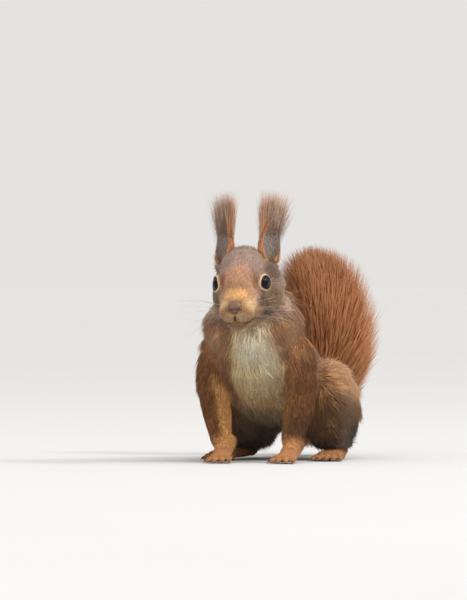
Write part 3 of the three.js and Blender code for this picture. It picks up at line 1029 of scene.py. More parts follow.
@dataclass
class Skin:
    """One closed skin under the whole coat, with lids, lips and ears."""

    anatomy: Anatomy
    rough_voxel: float = 1.0
    voxel: float = 0.55
    most_triangles: int = 190_000
    lid: float = 5.35  # from the eyeball's middle to the lid's edge
    lid_swell: float = 0.22
    lid_crease: float = 0.18
    socket: float = 3.6  # from the eyeball's middle to the skin behind it
    nearest: float = 5.2  # from the eyeball's middle to the skin round its lids

    NODES = ("head", "neck", "trunk", "eye_left", "eye_right")
    LIMBS = ("upper_arm", "forearm", "thigh", "shank")
    FORMS = (
        Form((17, 15, -1), (6.0, 9.0, 9.0), 2.4, False),  # the left ear's root
        Form((5.2, -20, -11.2), (3.6, 4.8, 3.6), 1.8),  # whisker pads
        Form((2.8, -23.6, -13.6), (2.4, 2.8, 2.8), 0.6),  # upper lips
        Form((0, -24, -19.5), (5.0, 3.8, 3.0), -1.8),  # the chin stands back
        Form((0, -20, -20), (3.4, 3.0, 2.6), 0.5),
        Form((15, 6, -12), (6.0, 9.0, 7.0), 0.7),  # cheeks
        Form((8.6, -3.6, 6.0), (3.2, 4.2, 2.4), 0.7),  # brows
        Form((8.2, -9.5, -1.5), (2.6, 3.6, 3.4), -0.7),  # hollows before the eyes
    )

    def build(self) -> Piece:
        """Makes the skin.

        Returns:
            The skin's object, without its material.
        """
        flesh = fused("flesh", [*self.NODES, *(f"{limb}_{side}" for limb in self.LIMBS for side in SIDES)])
        remesh(flesh, self.rough_voxel)
        soften(flesh, 8)
        self.fill_creases(flesh)
        self.sink(flesh)
        kinds = product(SIDES.values(), (FOREPAW, HINDFOOT))
        paws = [new_piece("paw_flesh", *stacked(paw.flesh(sign))) for sign, paw in kinds]
        ears = [Pinna(side).build() for side in SIDES]
        skin = joined("skin", [flesh, self.tail_core(), *paws, *self.hocks(), *ears])
        remesh(skin, self.voxel)
        drop_specks(skin)
        soften(skin, 3, 0.4)
        self.ease_wrists(skin)
        LOG.info("skin: %d faces of %.2f mm", len(skin.data.polygons), self.voxel)
        self.shape_head(skin)
        faces = len(skin.data.polygons) * 2
        if faces > self.most_triangles:
            apply_modifier(skin, "DECIMATE", ratio=self.most_triangles / faces)
            drop_specks(skin)
        return skin

    def fill_creases(self, piece: Piece) -> None:
        """Fills the creases where limbs and head meet the body, as thick fur does.

        Args:
            piece: the fused flesh.
        """
        twin = twin_of(piece)
        soften(twin, 70)
        points, normals = points_of(piece), normals_of(piece)
        out = dots(points_of(twin) - points, normals)
        discard(twin)
        shares, _ = self.anatomy.near(points)
        bare = self.anatomy.part(shares, "muzzle", "face", "wrist", "forepaw", "hindfoot")
        set_points(piece, points + normals * (np.clip(out, 0.0, 3.5) * (1 - bare))[:, None])

    def sink(self, piece: Piece) -> None:
        """Moves the flesh in by the coat's depth, and moulds the head.

        Args:
            piece: the fused flesh.
        """
        points, normals = points_of(piece), normals_of(piece)
        shares, _ = self.anatomy.near(points)
        places = HEAD.into(points)
        rise = sum(form.over(places) for form in self.FORMS) * (places[:, 1] < 30)
        rise += 3.2 * blob(points, (-27, -18, 73), (9, 14, 9), 0.7)  # the ruff over the right shoulder
        depth = self.anatomy.lie(shares, "depth") + 0.3 - rise
        set_points(piece, points - normals * depth[:, None])

    @staticmethod
    def tail_core() -> Piece:
        """The thin tail of flesh inside the brush."""
        line = curve_through(np.array(TAIL_LINE), 60)
        return new_piece("tail_core", *tube(line[:, :3], line[:, 3], 14, True))

    @staticmethod
    def hocks() -> list[Piece]:
        """The flesh that joins each hind foot to its shank."""
        lines = [np.array(HOCK_LINE) * (sign, 1, 1, 1) for sign in SIDES.values()]
        return [new_piece("hock", *tube(line[:, :3], line[:, 3], 12, True)) for line in lines]

    @staticmethod
    def ease_wrists(skin: Piece) -> None:
        """Smooths the joins of forearm and paw, and of shank and foot."""
        x, y, z = points_of(skin).T
        wrist = (1 - ramp(z, 12, 17)) * ramp(z, 3.0, 5.0) * (1 - ramp(y, -18, -12)) * ramp(y, -40, -34)
        ankle = (1 - ramp(z, 11, 16)) * ramp(z, 4.0, 6.0) * ramp(y, 5, 12)
        soften(skin, 60, 0.5, np.maximum(wrist, ankle))

    def shape_head(self, skin: Piece) -> None:
        """Finer faces round the eyes and mouth, then lids, lips and the nose pad's seat.

        Args:
            skin: the skin.
        """
        for reach in (8.5, 7.6):
            middle = read(skin.data.polygons, "center", 3) / MM - SHIFT
            near_eyes = np.min([np.linalg.norm(middle - eye_centre(side), axis=1) for side in SIDES], axis=0)
            near_mouth = np.linalg.norm((HEAD.into(middle) - np.array([0, -22, -13])) * (0.8, 1, 1), axis=1)
            quarter_faces(skin, (near_eyes < reach) | (near_mouth < reach))
        for _ in range(2):
            self.seat_eyes(skin)
        self.cut_mouth(skin)

    def seat_eyes(self, skin: Piece) -> None:
        """Opens the skin over each eyeball, with a raised lid round it and a crease behind the lid.

        Args:
            skin: the skin.
        """
        points = points_of(skin)
        for side in SIDES:
            centre = eye_centre(side)
            away = points - centre
            far = np.linalg.norm(away, axis=1)
            beyond = beyond_lids(points, side)
            inside = 1 - ramp(beyond, -1.5, 1.0)
            lid = self.lid + self.lid_swell * ramp(beyond, 0, 5) * (1 - ramp(beyond, 8, 13))
            crease = ramp(beyond, 9, 14) * (1 - ramp(beyond, 15, 22))
            wanted = lid * (1 - inside) + self.socket * inside - self.lid_crease * crease
            hold = 1 - ramp(beyond, 13, 34)
            target = np.maximum(far, self.nearest) * (1 - hold) + wanted * hold
            near = (beyond < 60) & (far > 1.5)
            moved = centre + away / np.maximum(far, 1e-9)[:, None] * target[:, None]
            points = np.where(near[:, None], moved, points)
        set_points(skin, points)

    @staticmethod
    def cut_mouth(skin: Piece) -> None:
        """The slit under the nose, the mouth's line and the seat of the nose pad.

        Args:
            skin: the skin.
        """
        points, normals = points_of(skin), normals_of(skin)
        places = HEAD.into(points)
        cut = np.max([groove(places, line, 0.45) for line in MOUTH], axis=0)
        lips = np.max([groove(places, line, 1.5) for line in MOUTH], axis=0)
        seat = blob(places, (0, -25.2, -7.8), (3.6, 3.0, 3.2), 0.5)
        set_points(skin, points + normals * (0.4 * lips - 0.6 * cut - 1.3 * seat)[:, None])


@dataclass(frozen=True)
class Pinna:
    """The cupped skin of one ear, without its tuft."""

    side: str
    wall: float = 0.9

    # height, half width, half depth, and degrees that the wall wraps round each side of the back
    RINGS = (
        (-6.5, 2.2, 2.2, 168.0),
        (-3.0, 3.8, 3.2, 165.0),
        (0.5, 5.2, 3.9, 152.0),
        (3.5, 5.9, 4.1, 132.0),
        (7.0, 6.2, 4.0, 114.0),
        (11.0, 6.0, 3.7, 102.0),
        (15.0, 5.3, 3.1, 95.0),
        (19.0, 4.2, 2.4, 90.0),
        (22.5, 2.7, 1.6, 85.0),
        (24.6, 0.9, 0.6, 80.0),
    )

    @staticmethod
    def middle(height: Array) -> Array:
        """How far back the cup's middle is at a height."""
        return 0.6 + 0.03 * height

    def build(self) -> Piece:
        """Makes the cup.

        Returns:
            One closed shell.
        """
        rings = curve_through(np.array(self.RINGS), 34)
        turns = np.linspace(-1.0, 1.0, 25)
        outer, inner = [], []
        for height, width, depth, wrap in rings:
            angle = np.radians(turns * wrap)
            way = np.column_stack([np.sin(angle), np.cos(angle)])
            centre = np.array([0.0, self.middle(height)])
            thick = min(self.wall, width * 0.6, depth * 0.6)
            outer.append(np.column_stack([centre + way * (width, depth), np.full(25, height)]))
            inner.append(np.column_stack([centre + way * (width - thick, depth - thick), np.full(25, height + 0.15)]))
        rows, columns = len(rings), len(turns)
        shell = rows * columns
        faces = []
        for r, c in product(range(rows - 1), range(columns - 1)):
            a, b = r * columns + c, (r + 1) * columns + c
            faces += [(a, b, b + 1, a + 1), (shell + a, shell + a + 1, shell + b + 1, shell + b)]
        for r in range(rows - 1):
            a, b = r * columns, (r + 1) * columns
            faces.append((a, shell + a, shell + b, b))
            a, b = a + columns - 1, b + columns - 1
            faces.append((a, b, shell + b, shell + a))
        for c in range(columns - 1):
            a = (rows - 1) * columns + c
            faces += [(c, c + 1, shell + c + 1, shell + c), (a, shell + a, shell + a + 1, a + 1)]
        points = ear_pose(self.side).out(np.concatenate(outer + inner))
        piece = new_piece(f"pinna_{self.side}", points, np.array(faces))
        with editing(piece):
            bpy.ops.mesh.normals_make_consistent(inside=False)
        return piece


@dataclass(frozen=True)
class Paw:
    """A paw of one kind: its palm, digits and claws."""

    palm: tuple[tuple[float, ...], ...]  # x, y, z, half width and half height along the palm
    digits: int
    length: float
    radius: float
    spread: float
    claw: float
    knuckle: tuple[float, float, float, float]  # x, y and z of the knuckles' middle, and their half width

    def rays(self, sign: int) -> list[tuple[Array, Array, float]]:
        """Where each digit starts, which way it points, and how far back it is set.

        Args:
            sign: 1 for the left side and -1 for the right.

        Returns:
            The start, the direction and the setback of each digit.
        """
        x, y, _, width = self.knuckle
        out = []
        for i in range(self.digits):
            across = 2 * i / (self.digits - 1) - 1
            turn = math.radians(across * self.spread)
            start = np.array([x + across * (width - self.radius - 0.3), y, 0.0]) * (sign, 1, 1)
            way = np.array([math.sin(turn), -math.cos(turn), 0.0]) * (sign, 1, 1)
            out.append((start, way, self.length * 0.2 * across * across))
        return out

    def flesh(self, sign: int) -> list[tuple[Array, Array]]:
        """Palm and digits as overlapping closed tubes.

        Args:
            sign: 1 for the left side and -1 for the right.

        Returns:
            The vertices and faces of each tube.
        """
        rows = curve_through(np.array(self.palm), 12)
        parts = []
        for shift in np.linspace(-1, 1, 5):
            radii = rows[:, 4] * (1 - 0.15 * abs(shift))
            path = rows[:, :3].copy()
            path[:, 0] = (path[:, 0] + shift * (rows[:, 3] - rows[:, 4]) * 0.95) * sign
            path[:, 2] = np.maximum(path[:, 2], radii + 0.1)
            parts.append(tube(path, radii, 12, True))
        z = self.knuckle[2]
        for start, way, back in self.rays(sign):
            stops = np.array([-0.35, 0.0, 0.3, 0.55, 0.8, 0.97]) * self.length - back
            heights = np.array([z, z + 0.3, z * 0.86, self.radius * 1.25, self.radius, self.radius * 0.9])
            radii = np.array([0.9, 1.05, 0.82, 0.96, 0.8, 0.66]) * self.radius
            path = start + way * stops[:, None]
            path[:, 2] = np.maximum(heights, radii + 0.05)
            rows = curve_through(np.column_stack([path, radii]), 16)
            parts.append(tube(rows[:, :3], rows[:, 3], 10, True))
        return parts

    def claws(self, sign: int) -> list[tuple[Array, Array]]:
        """A curved claw at the end of each digit.

        Args:
            sign: 1 for the left side and -1 for the right.

        Returns:
            The vertices and faces of each claw.
        """
        made = []
        for start, way, back in self.rays(sign):
            stops = np.array([-1.4, -0.2, 0.35 * self.claw, 0.7 * self.claw, self.claw])
            heights = np.array([0.9, 1.2, 1.15, 0.8, 0.22 / self.radius]) * self.radius
            radii = np.array([0.45, 0.56, 0.46, 0.28, 0.08])
            path = start + way * (stops + self.length - back)[:, None]
            path[:, 2] = heights
            rows = curve_through(np.column_stack([path, radii]), 9)
            made.append(tube(rows[:, :3], rows[:, 3], 8))
        return made


FOREPAW = Paw(
    palm=((18.9, -26.0, 11.0, 5.4, 5.2), (18.6, -30.0, 7.2, 5.5, 4.6), (18.2, -34.0, 4.6, 5.8, 3.4),
          (17.8, -38.0, 3.2, 6.0, 2.5), (17.4, -42.0, 2.6, 5.8, 2.0)),
    digits=4, length=8.0, radius=1.45, spread=13.0, claw=3.2, knuckle=(17.4, -41.0, 2.7, 6.6),
)  # fmt: skip
HINDFOOT = Paw(
    palm=((25.2, 52.5, 5.0, 3.6, 3.6), (26.0, 43.0, 4.6, 4.2, 3.8), (28.0, 26.0, 3.8, 5.0, 3.2),
          (30.0, 10.0, 3.0, 7.0, 2.6), (30.2, 6.0, 2.8, 7.0, 2.3)),
    digits=5, length=12.0, radius=1.6, spread=9.0, claw=4.2, knuckle=(30.0, 9.0, 3.0, 8.0),
)  # fmt: skip


# ---- Coat ----


@dataclass
class Roots:
    """Places on the skin where tufts grow."""

    points: Array
    normals: Array
    uv: Array


@dataclass
class Tufts:
    """Tufts ready to be made solid. Every array has a row for each tuft; sizes are in millimetres."""

    roots: Array
    normals: Array
    flows: Array
    lengths: Array
    heights: Array
    widths: Array
    bends: Array
    root_colours: Array
    colours: Array
    tips: Array
    uv: Array
    shape: tuple[float, ...]  # share of the height that the tuft has at each ring and its tip

    PATCH = 0.003  # the side of a tuft's patch on the bake map
    ROOT_DEPTH = 0.35  # how deep the root stands in the skin
    FLOOR_GAP = 0.15  # what is left free over the floor

    def solid(self, name: str) -> Piece:
        """Makes the tufts: each is a closed spindle with a flat underside and a ridge on top.

        Args:
            name: the piece's name.

        Returns:
            The new object with its colours and its map.
        """
        long = len(self.shape) == 3
        stops = (0.28, 0.64) if long else (0.38,)
        full = (1.0, 0.85) if long else (1.0,)
        side = unit(np.cross(self.flows, self.normals))
        run = np.sqrt(np.maximum(self.lengths**2 - self.heights**2, 0.04 * self.lengths**2))

        def at(t: float, rise: float) -> Array:
            """A point on each tuft's spine."""
            sway = side * (self.bends * t * t)[:, None]
            return self.roots + self.flows * (run * t)[:, None] + sway + self.normals * (self.heights * rise)[:, None]

        columns, shades = [at(0.0, 0.0) - self.normals * self.ROOT_DEPTH], [self.root_colours]
        places = [(0.0, -0.5)]
        for stop, share, rise in zip(stops, full, self.shape):
            spine, half = at(stop, rise), (self.widths * share / 2)[:, None]
            columns += [spine + self.normals * half * 0.55, spine + side * half, spine - side * half]
            shades += [self.colours if stop < 0.6 else (self.colours + self.tips) / 2] * 3
            places += [(0.0, stop - 0.5), (0.5, stop - 0.5), (-0.5, stop - 0.5)]
        points = np.stack([*columns, at(1.0, self.shape[-1])], 1)
        points[..., 2] = np.maximum(points[..., 2], self.FLOOR_GAP)
        places.append((0.0, 0.5))
        count, per = points.shape[:2]
        faces = [(0, 2, 1), (0, 3, 2), (0, 1, 3)]
        for ring in range(len(stops) - 1):
            a, b = 1 + 3 * ring, 4 + 3 * ring
            for i, j in ((0, 1), (1, 2), (2, 0)):
                faces += [(a + i, a + j, b + j), (a + i, b + j, b + i)]
        a = 1 + 3 * (len(stops) - 1)
        faces += [(a, a + 1, per - 1), (a + 1, a + 2, per - 1), (a + 2, a, per - 1)]
        every = (np.arange(count)[:, None, None] * per + np.array(faces)[None]).reshape(-1, 3)
        piece = new_piece(name, points.reshape(-1, 3), every)
        paint(piece, np.stack([*shades, self.tips], 1).reshape(-1, 3))
        patches = self.uv[:, None] + np.array(places)[None] * self.PATCH
        layer = piece.data.uv_layers.new(name=BAKE_MAP)
        layer.data.foreach_set("uv", patches.reshape(-1, 2)[every.ravel()].astype(np.float32).ravel())
        return piece


def unwrap(piece: Piece) -> None:
    """Unwraps a piece's own shape onto its bake map.

    Args:
        piece: the piece.
    """
    piece.data.uv_layers.new(name=BAKE_MAP)
    with editing(piece):
        bpy.ops.uv.smart_project(angle_limit=1.15, island_margin=0.002, scale_to_bounds=True)


class Ground:
    """The skin's triangles, from which the coat's pieces take their roots."""

    def __init__(self, skin: Piece) -> None:
        """Reads the skin once."""
        self.points, self.normals, self.triangles = points_of(skin), normals_of(skin), triangles_of(skin)
        self.middles = self.points[self.triangles].mean(1)

    def roots(self, chosen: Array, density: Array, rng: np.random.Generator) -> Roots:
        """Roots spread over some of the triangles, with their places on an unwrap of those triangles.

        Args:
            chosen: which triangles, one truth value each.
            density: roots to a square millimetre at each vertex of the skin.
            rng: the source of chance.

        Returns:
            The roots.
        """
        triangles = self.triangles[chosen]
        used, local = np.unique(triangles, return_inverse=True)
        patch = new_piece("patch", self.points[used], local.reshape(-1, 3))
        unwrap(patch)
        uv = read(patch.data.uv_layers[BAKE_MAP].data, "uv", 2).reshape(-1, 3, 2)
        discard(patch)
        corners = self.points[triangles]
        reach = np.cumsum(areas(corners) * density[triangles].mean(1))
        count = int(reach[-1])
        pick = drawn(reach, count, rng)
        a, b = rng.random(count), rng.random(count)
        over = a + b > 1
        a, b = np.where(over, 1 - a, a), np.where(over, 1 - b, b)
        share = np.stack([1 - a - b, a, b], 1)[:, :, None]
        return Roots(
            (corners[pick] * share).sum(1),
            unit((self.normals[triangles[pick]] * share).sum(1)),
            (uv[pick] * share).sum(1),
        )


@dataclass(frozen=True)
class Patch:
    """One piece of the coat on the body: the parts of the body that it covers."""

    name: str
    parts: tuple[str, ...]
    side: int = 0  # 1 and -1 keep to the left and right half


class Coat:
    """The whole coat but for the tail's brush and the ears."""

    EARS = {"left": -3, "right": -1}  # these and TAIL mark triangles outside the patches
    TAIL = -9
    BARE_LIP = 0.36  # from the mouth's line
    BARE_LID = 5.0  # in degrees from the lids' edge
    BARE_SOLE = 1.6  # over the floor
    MIDDLE = -2.0  # where on X the left and right patches meet
    FORELEG = ("upper_arm", "forearm", "wrist", "forepaw")
    HINDLEG = ("shank", "hindfoot")
    PATCHES = (
        Patch("coat_face", ("muzzle", "face")),
        Patch("coat_skull", ("skull", "cheek")),
        Patch("coat_neck", ("neck",)),
        Patch("coat_chest", ("chest",)),
        Patch("coat_flank_left", ("trunk",), 1),
        Patch("coat_flank_right", ("trunk",), -1),
        Patch("coat_rump", ("rump",)),
        Patch("coat_haunch_left", ("thigh",), 1),
        Patch("coat_haunch_right", ("thigh",), -1),
        Patch("coat_foreleg_left", FORELEG, 1),
        Patch("coat_foreleg_right", FORELEG, -1),
        Patch("coat_hindleg_left", HINDLEG, 1),
        Patch("coat_hindleg_right", HINDLEG, -1),
    )

    def __init__(self, ground: Ground, anatomy: Anatomy, markings: Markings) -> None:
        """Works out once which patch each triangle of the skin belongs to.

        Args:
            ground: the skin's triangles.
            anatomy: the lie of the coat.
            markings: its colours.
        """
        self.ground, self.anatomy, self.markings = ground, anatomy, markings
        shares, _ = anatomy.near(ground.points)
        self.density = anatomy.lie(shares, "density") * self.furred(ground.points, ground.normals)
        middle, near = ground.middles, shares[ground.triangles].mean(1)
        claims = []
        for patch in self.PATCHES:
            claim = anatomy.part(near, *patch.parts)
            claims.append(np.where((middle[:, 0] - self.MIDDLE) * patch.side >= 0, claim, 0.0))
        self.owner = np.argmax(np.array(claims), axis=0)
        for side in SIDES:
            self.owner[on_ear(ear_pose(side).into(middle))] = self.EARS[side]
        self.owner[middle[:, 1] > TAIL_START] = self.TAIL

    def furred(self, points: Array, normals: Array) -> Array:
        """1 where hair grows, and 0 on lids, lips, nose and soles.

        Args:
            points: places on the table.
            normals: the surface's normals there.

        Returns:
            A value for each point.
        """
        places = HEAD.into(points)
        bare = np.min([line_gap(places, line) for line in MOUTH], axis=0) < self.BARE_LIP
        bare |= np.linalg.norm((places - np.array([0, -24.6, -8.0])) / np.array([3.3, 3.0, 2.8]), axis=1) < 1.0
        for side in SIDES:
            bare |= beyond_lids(points, side) < self.BARE_LID
        bare |= (points[:, 2] < self.BARE_SOLE) & (normals[:, 2] < -0.4)
        return np.where(bare, 0.0, 1.0)

    def grow(self, index: int) -> Piece:
        """Grows one patch of the coat.

        Args:
            index: its place in PATCHES, which also seeds its chance.

        Returns:
            The new piece, without its material.
        """
        rng = np.random.default_rng(100 + index)
        patch = self.PATCHES[index]
        roots = self.ground.roots(self.owner == index, self.density, rng)
        return self.tufts(roots, rng).solid(patch.name)

    def tufts(self, roots: Roots, rng: np.random.Generator) -> Tufts:
        """Gives each root its tuft, by the lie of the coat there.

        Args:
            roots: where the tufts grow.
            rng: the source of chance.

        Returns:
            The tufts.
        """
        points, normals = roots.points, roots.normals
        count = len(points)
        shares, ways = self.anatomy.near(points)
        flow = self.anatomy.flow(points, normals, shares, ways)
        swirl = 0.2 * mottle(points, 6.0, 11) + rng.normal(0, 0.12, count)
        flow = unit(flow + np.cross(flow, normals) * swirl[:, None])
        places = HEAD.into(points)
        eyes = np.min([np.linalg.norm(points - eye_centre(side), axis=1) for side in SIDES], axis=0)
        lips = np.min([line_gap(places, line) for line in MOUTH], axis=0)
        short = (0.3 + 0.7 * ramp(eyes, 5.5, 13)) * (0.22 + 0.78 * ramp(lips, 0.6, 3.2))
        ears = np.min([np.linalg.norm(points - ear_pose(side).origin, axis=1) for side in SIDES], axis=0)
        short *= 0.6 + 0.4 * ramp(ears, 6, 12)
        lengths = self.anatomy.lie(shares, "length") * np.exp(rng.normal(0, 0.16, count)) * short
        depth = self.anatomy.lie(shares, "depth") * short
        crown = blob(places, (0, 17, 15), (9, 7, 6))
        heights = np.minimum(depth * rng.uniform(0.4, 1.0, count) * (1 + 0.9 * crown), lengths * (0.7 + 0.2 * crown))
        base, tip = self.markings.at(points, normals, shares)
        lock = mottle(points, 1.3, 14) * ramp(lengths, 2.0, 6.0)  # neighbours share their shade
        light = np.exp(rng.normal(0, 0.13, count) + 0.1 * mottle(points, 4.0, 12) + 0.42 * lock)[:, None]
        ticked = np.clip(rng.normal(0.5, 0.25, count) + 0.3 * mottle(points, 3.0, 13) + 0.5 * lock, 0.0, 1.0)[:, None]
        return Tufts(
            roots=points, normals=normals, flows=flow, lengths=lengths, heights=heights,
            widths=self.anatomy.lie(shares, "width") * rng.uniform(0.7, 1.3, count),
            bends=lengths * rng.normal(0, 0.1, count), root_colours=base * (0.55 + 0.35 * base[:, 1:2]),
            colours=np.clip(base * light, 0, 1), tips=np.clip((base * (1 - ticked) + tip * ticked) * light, 0, 1),
            uv=roots.uv, shape=(0.72, 1.0),
        )  # fmt: skip


class EarCoat:
    """Short hair on one ear, and the long tuft over it."""

    def __init__(self, coat: Coat, side: str) -> None:
        """Keeps the coat whose ground the ear stands on."""
        self.coat, self.side, self.pose, self.sign = coat, side, ear_pose(side), SIDES[side]

    def grow(self) -> Piece:
        """Grows the ear's coat and its tuft as one piece.

        Returns:
            The new piece, without its material.
        """
        rng = np.random.default_rng(200 + self.sign)
        ground = self.coat.ground
        local = self.pose.into(ground.points)
        hollow = self.hollow(local, ground.normals @ self.pose.turn)
        mine = self.coat.owner == Coat.EARS[self.side]
        short = self.short(ground.roots(mine, 9.0 - 6.0 * hollow, rng), rng)
        density = (1 - 0.8 * hollow) * ramp(local[:, 2], 7.0, 17.0) * 7.5
        long = self.long(ground.roots(mine, density, rng), rng)
        return joined(f"ear_coat_{self.side}", [short.solid("short"), long.solid("long")])

    @staticmethod
    def hollow(local: Array, facing: Array) -> Array:
        """How far each point lies on the inner side of the cup, from 0 to 1."""
        away = unit(np.column_stack([local[:, 0], local[:, 1] - Pinna.middle(local[:, 2])]))
        return ramp(-dots(away, facing[:, :2]), 0.1, 0.5) * (local[:, 1] > -1.2) * (1 - ramp(local[:, 2], 13, 17))

    def colours(self, local: Array, hollow: Array) -> Colours:
        """The ear's colours: grey in the hollow, red on its inner edge, brown-grey behind.

        Args:
            local: places in the ear's own frame.
            hollow: how far each lies in the ear's hollow.

        Returns:
            The ear's pair of colours at each place.
        """
        count = len(local)
        pair = (np.tile(Shade.EAR_BACK.linear, (count, 1)), np.tile(Shade.TUFT.linear, (count, 1)))
        pair = lay(pair, ramp(-self.sign * local[:, 0] - 0.3 * local[:, 1], 0.0, 3.5), Shade.EAR_RED, Shade.EAR_GOLD)
        pair = lay(pair, 0.8 * (1 - ramp(local[:, 2], 2.0, 8.0)), Shade.EAR_GOLD, Shade.GOLD)
        return lay(pair, 0.8 * hollow * ramp(local[:, 2], 2.0, 5.0), Shade.EAR_HOLLOW, Shade.EAR_RIM)

    def short(self, roots: Roots, rng: np.random.Generator) -> Tufts:
        """The ear's own short hair, which runs up it.

        Args:
            roots: where the tufts grow.
            rng: the source of chance.

        Returns:
            The tufts.
        """
        count = len(roots.points)
        local = self.pose.into(roots.points)
        hollow = self.hollow(local, roots.normals @ self.pose.turn)
        up = self.pose.along(np.array([0.0, 0.1, 1.0]))
        flow = unit(flat_on(np.tile(up, (count, 1)), roots.normals) + rng.normal(0, 0.12, (count, 3)))
        lengths = (3.0 - 1.4 * hollow) * np.exp(rng.normal(0, 0.2, count))
        base, tip = self.colours(local, hollow)
        light = np.exp(rng.normal(0, 0.2, count))[:, None]
        return Tufts(
            roots=roots.points, normals=roots.normals, flows=flow, lengths=lengths,
            heights=(0.7 - 0.3 * hollow) * rng.uniform(0.5, 1.2, count), widths=rng.uniform(0.18, 0.28, count),
            bends=lengths * rng.normal(0, 0.08, count), root_colours=base * 0.6, colours=base * light,
            tips=(base + tip) / 2 * light, uv=roots.uv, shape=(0.7, 1.0),
        )  # fmt: skip

    def long(self, roots: Roots, rng: np.random.Generator) -> Tufts:
        """The long hair over the ear's tip: dense along its inner edge, and a thin fan behind it.

        Args:
            roots: where the tufts grow.
            rng: the source of chance.

        Returns:
            The tufts.
        """
        count = len(roots.points)
        local = self.pose.into(roots.points)
        outer = self.sign * local[:, 0]  # towards the ear's outer, hind edge
        inner = ramp(-outer, -1.5, 2.5)
        top = 26.0 + 14.5 * rng.random(count) ** (1.3 - 0.6 * inner)
        rise = top - local[:, 2]
        fan = {"left": 0.22, "right": 0.10}[self.side] * rng.random(count) ** 1.5 * (1 - 0.75 * inner)
        lean = 0.02 * outer + fan + rng.normal(0.0, 0.035, count)
        way = np.column_stack([self.sign * lean, -0.5 * fan + rng.normal(0.02, 0.06, count), np.ones(count)])
        way = unit(self.pose.along(way))
        red = (inner * rng.uniform(0.2, 1.0, count) * (1 - ramp(local[:, 2], 14, 22)))[:, None]
        base = Shade.TUFT.linear * (1 - red) + Shade.EAR_RED.linear * red
        light = np.exp(rng.normal(0.0, 0.3, count))[:, None]
        return Tufts(
            roots=roots.points, normals=unit(flat_on(roots.normals, way)), flows=way, lengths=rise * 1.02,
            heights=rng.uniform(0.2, 1.0, count), widths=rng.uniform(0.1, 0.21, count),
            bends=self.sign * rise * rng.normal(-0.04, 0.05, count), root_colours=base * 0.7, colours=base * light,
            tips=(0.35 * base + 0.55 * Shade.TUFT.linear) * light, uv=roots.uv, shape=(0.5, 0.9, 1.0),
        )  # fmt: skip


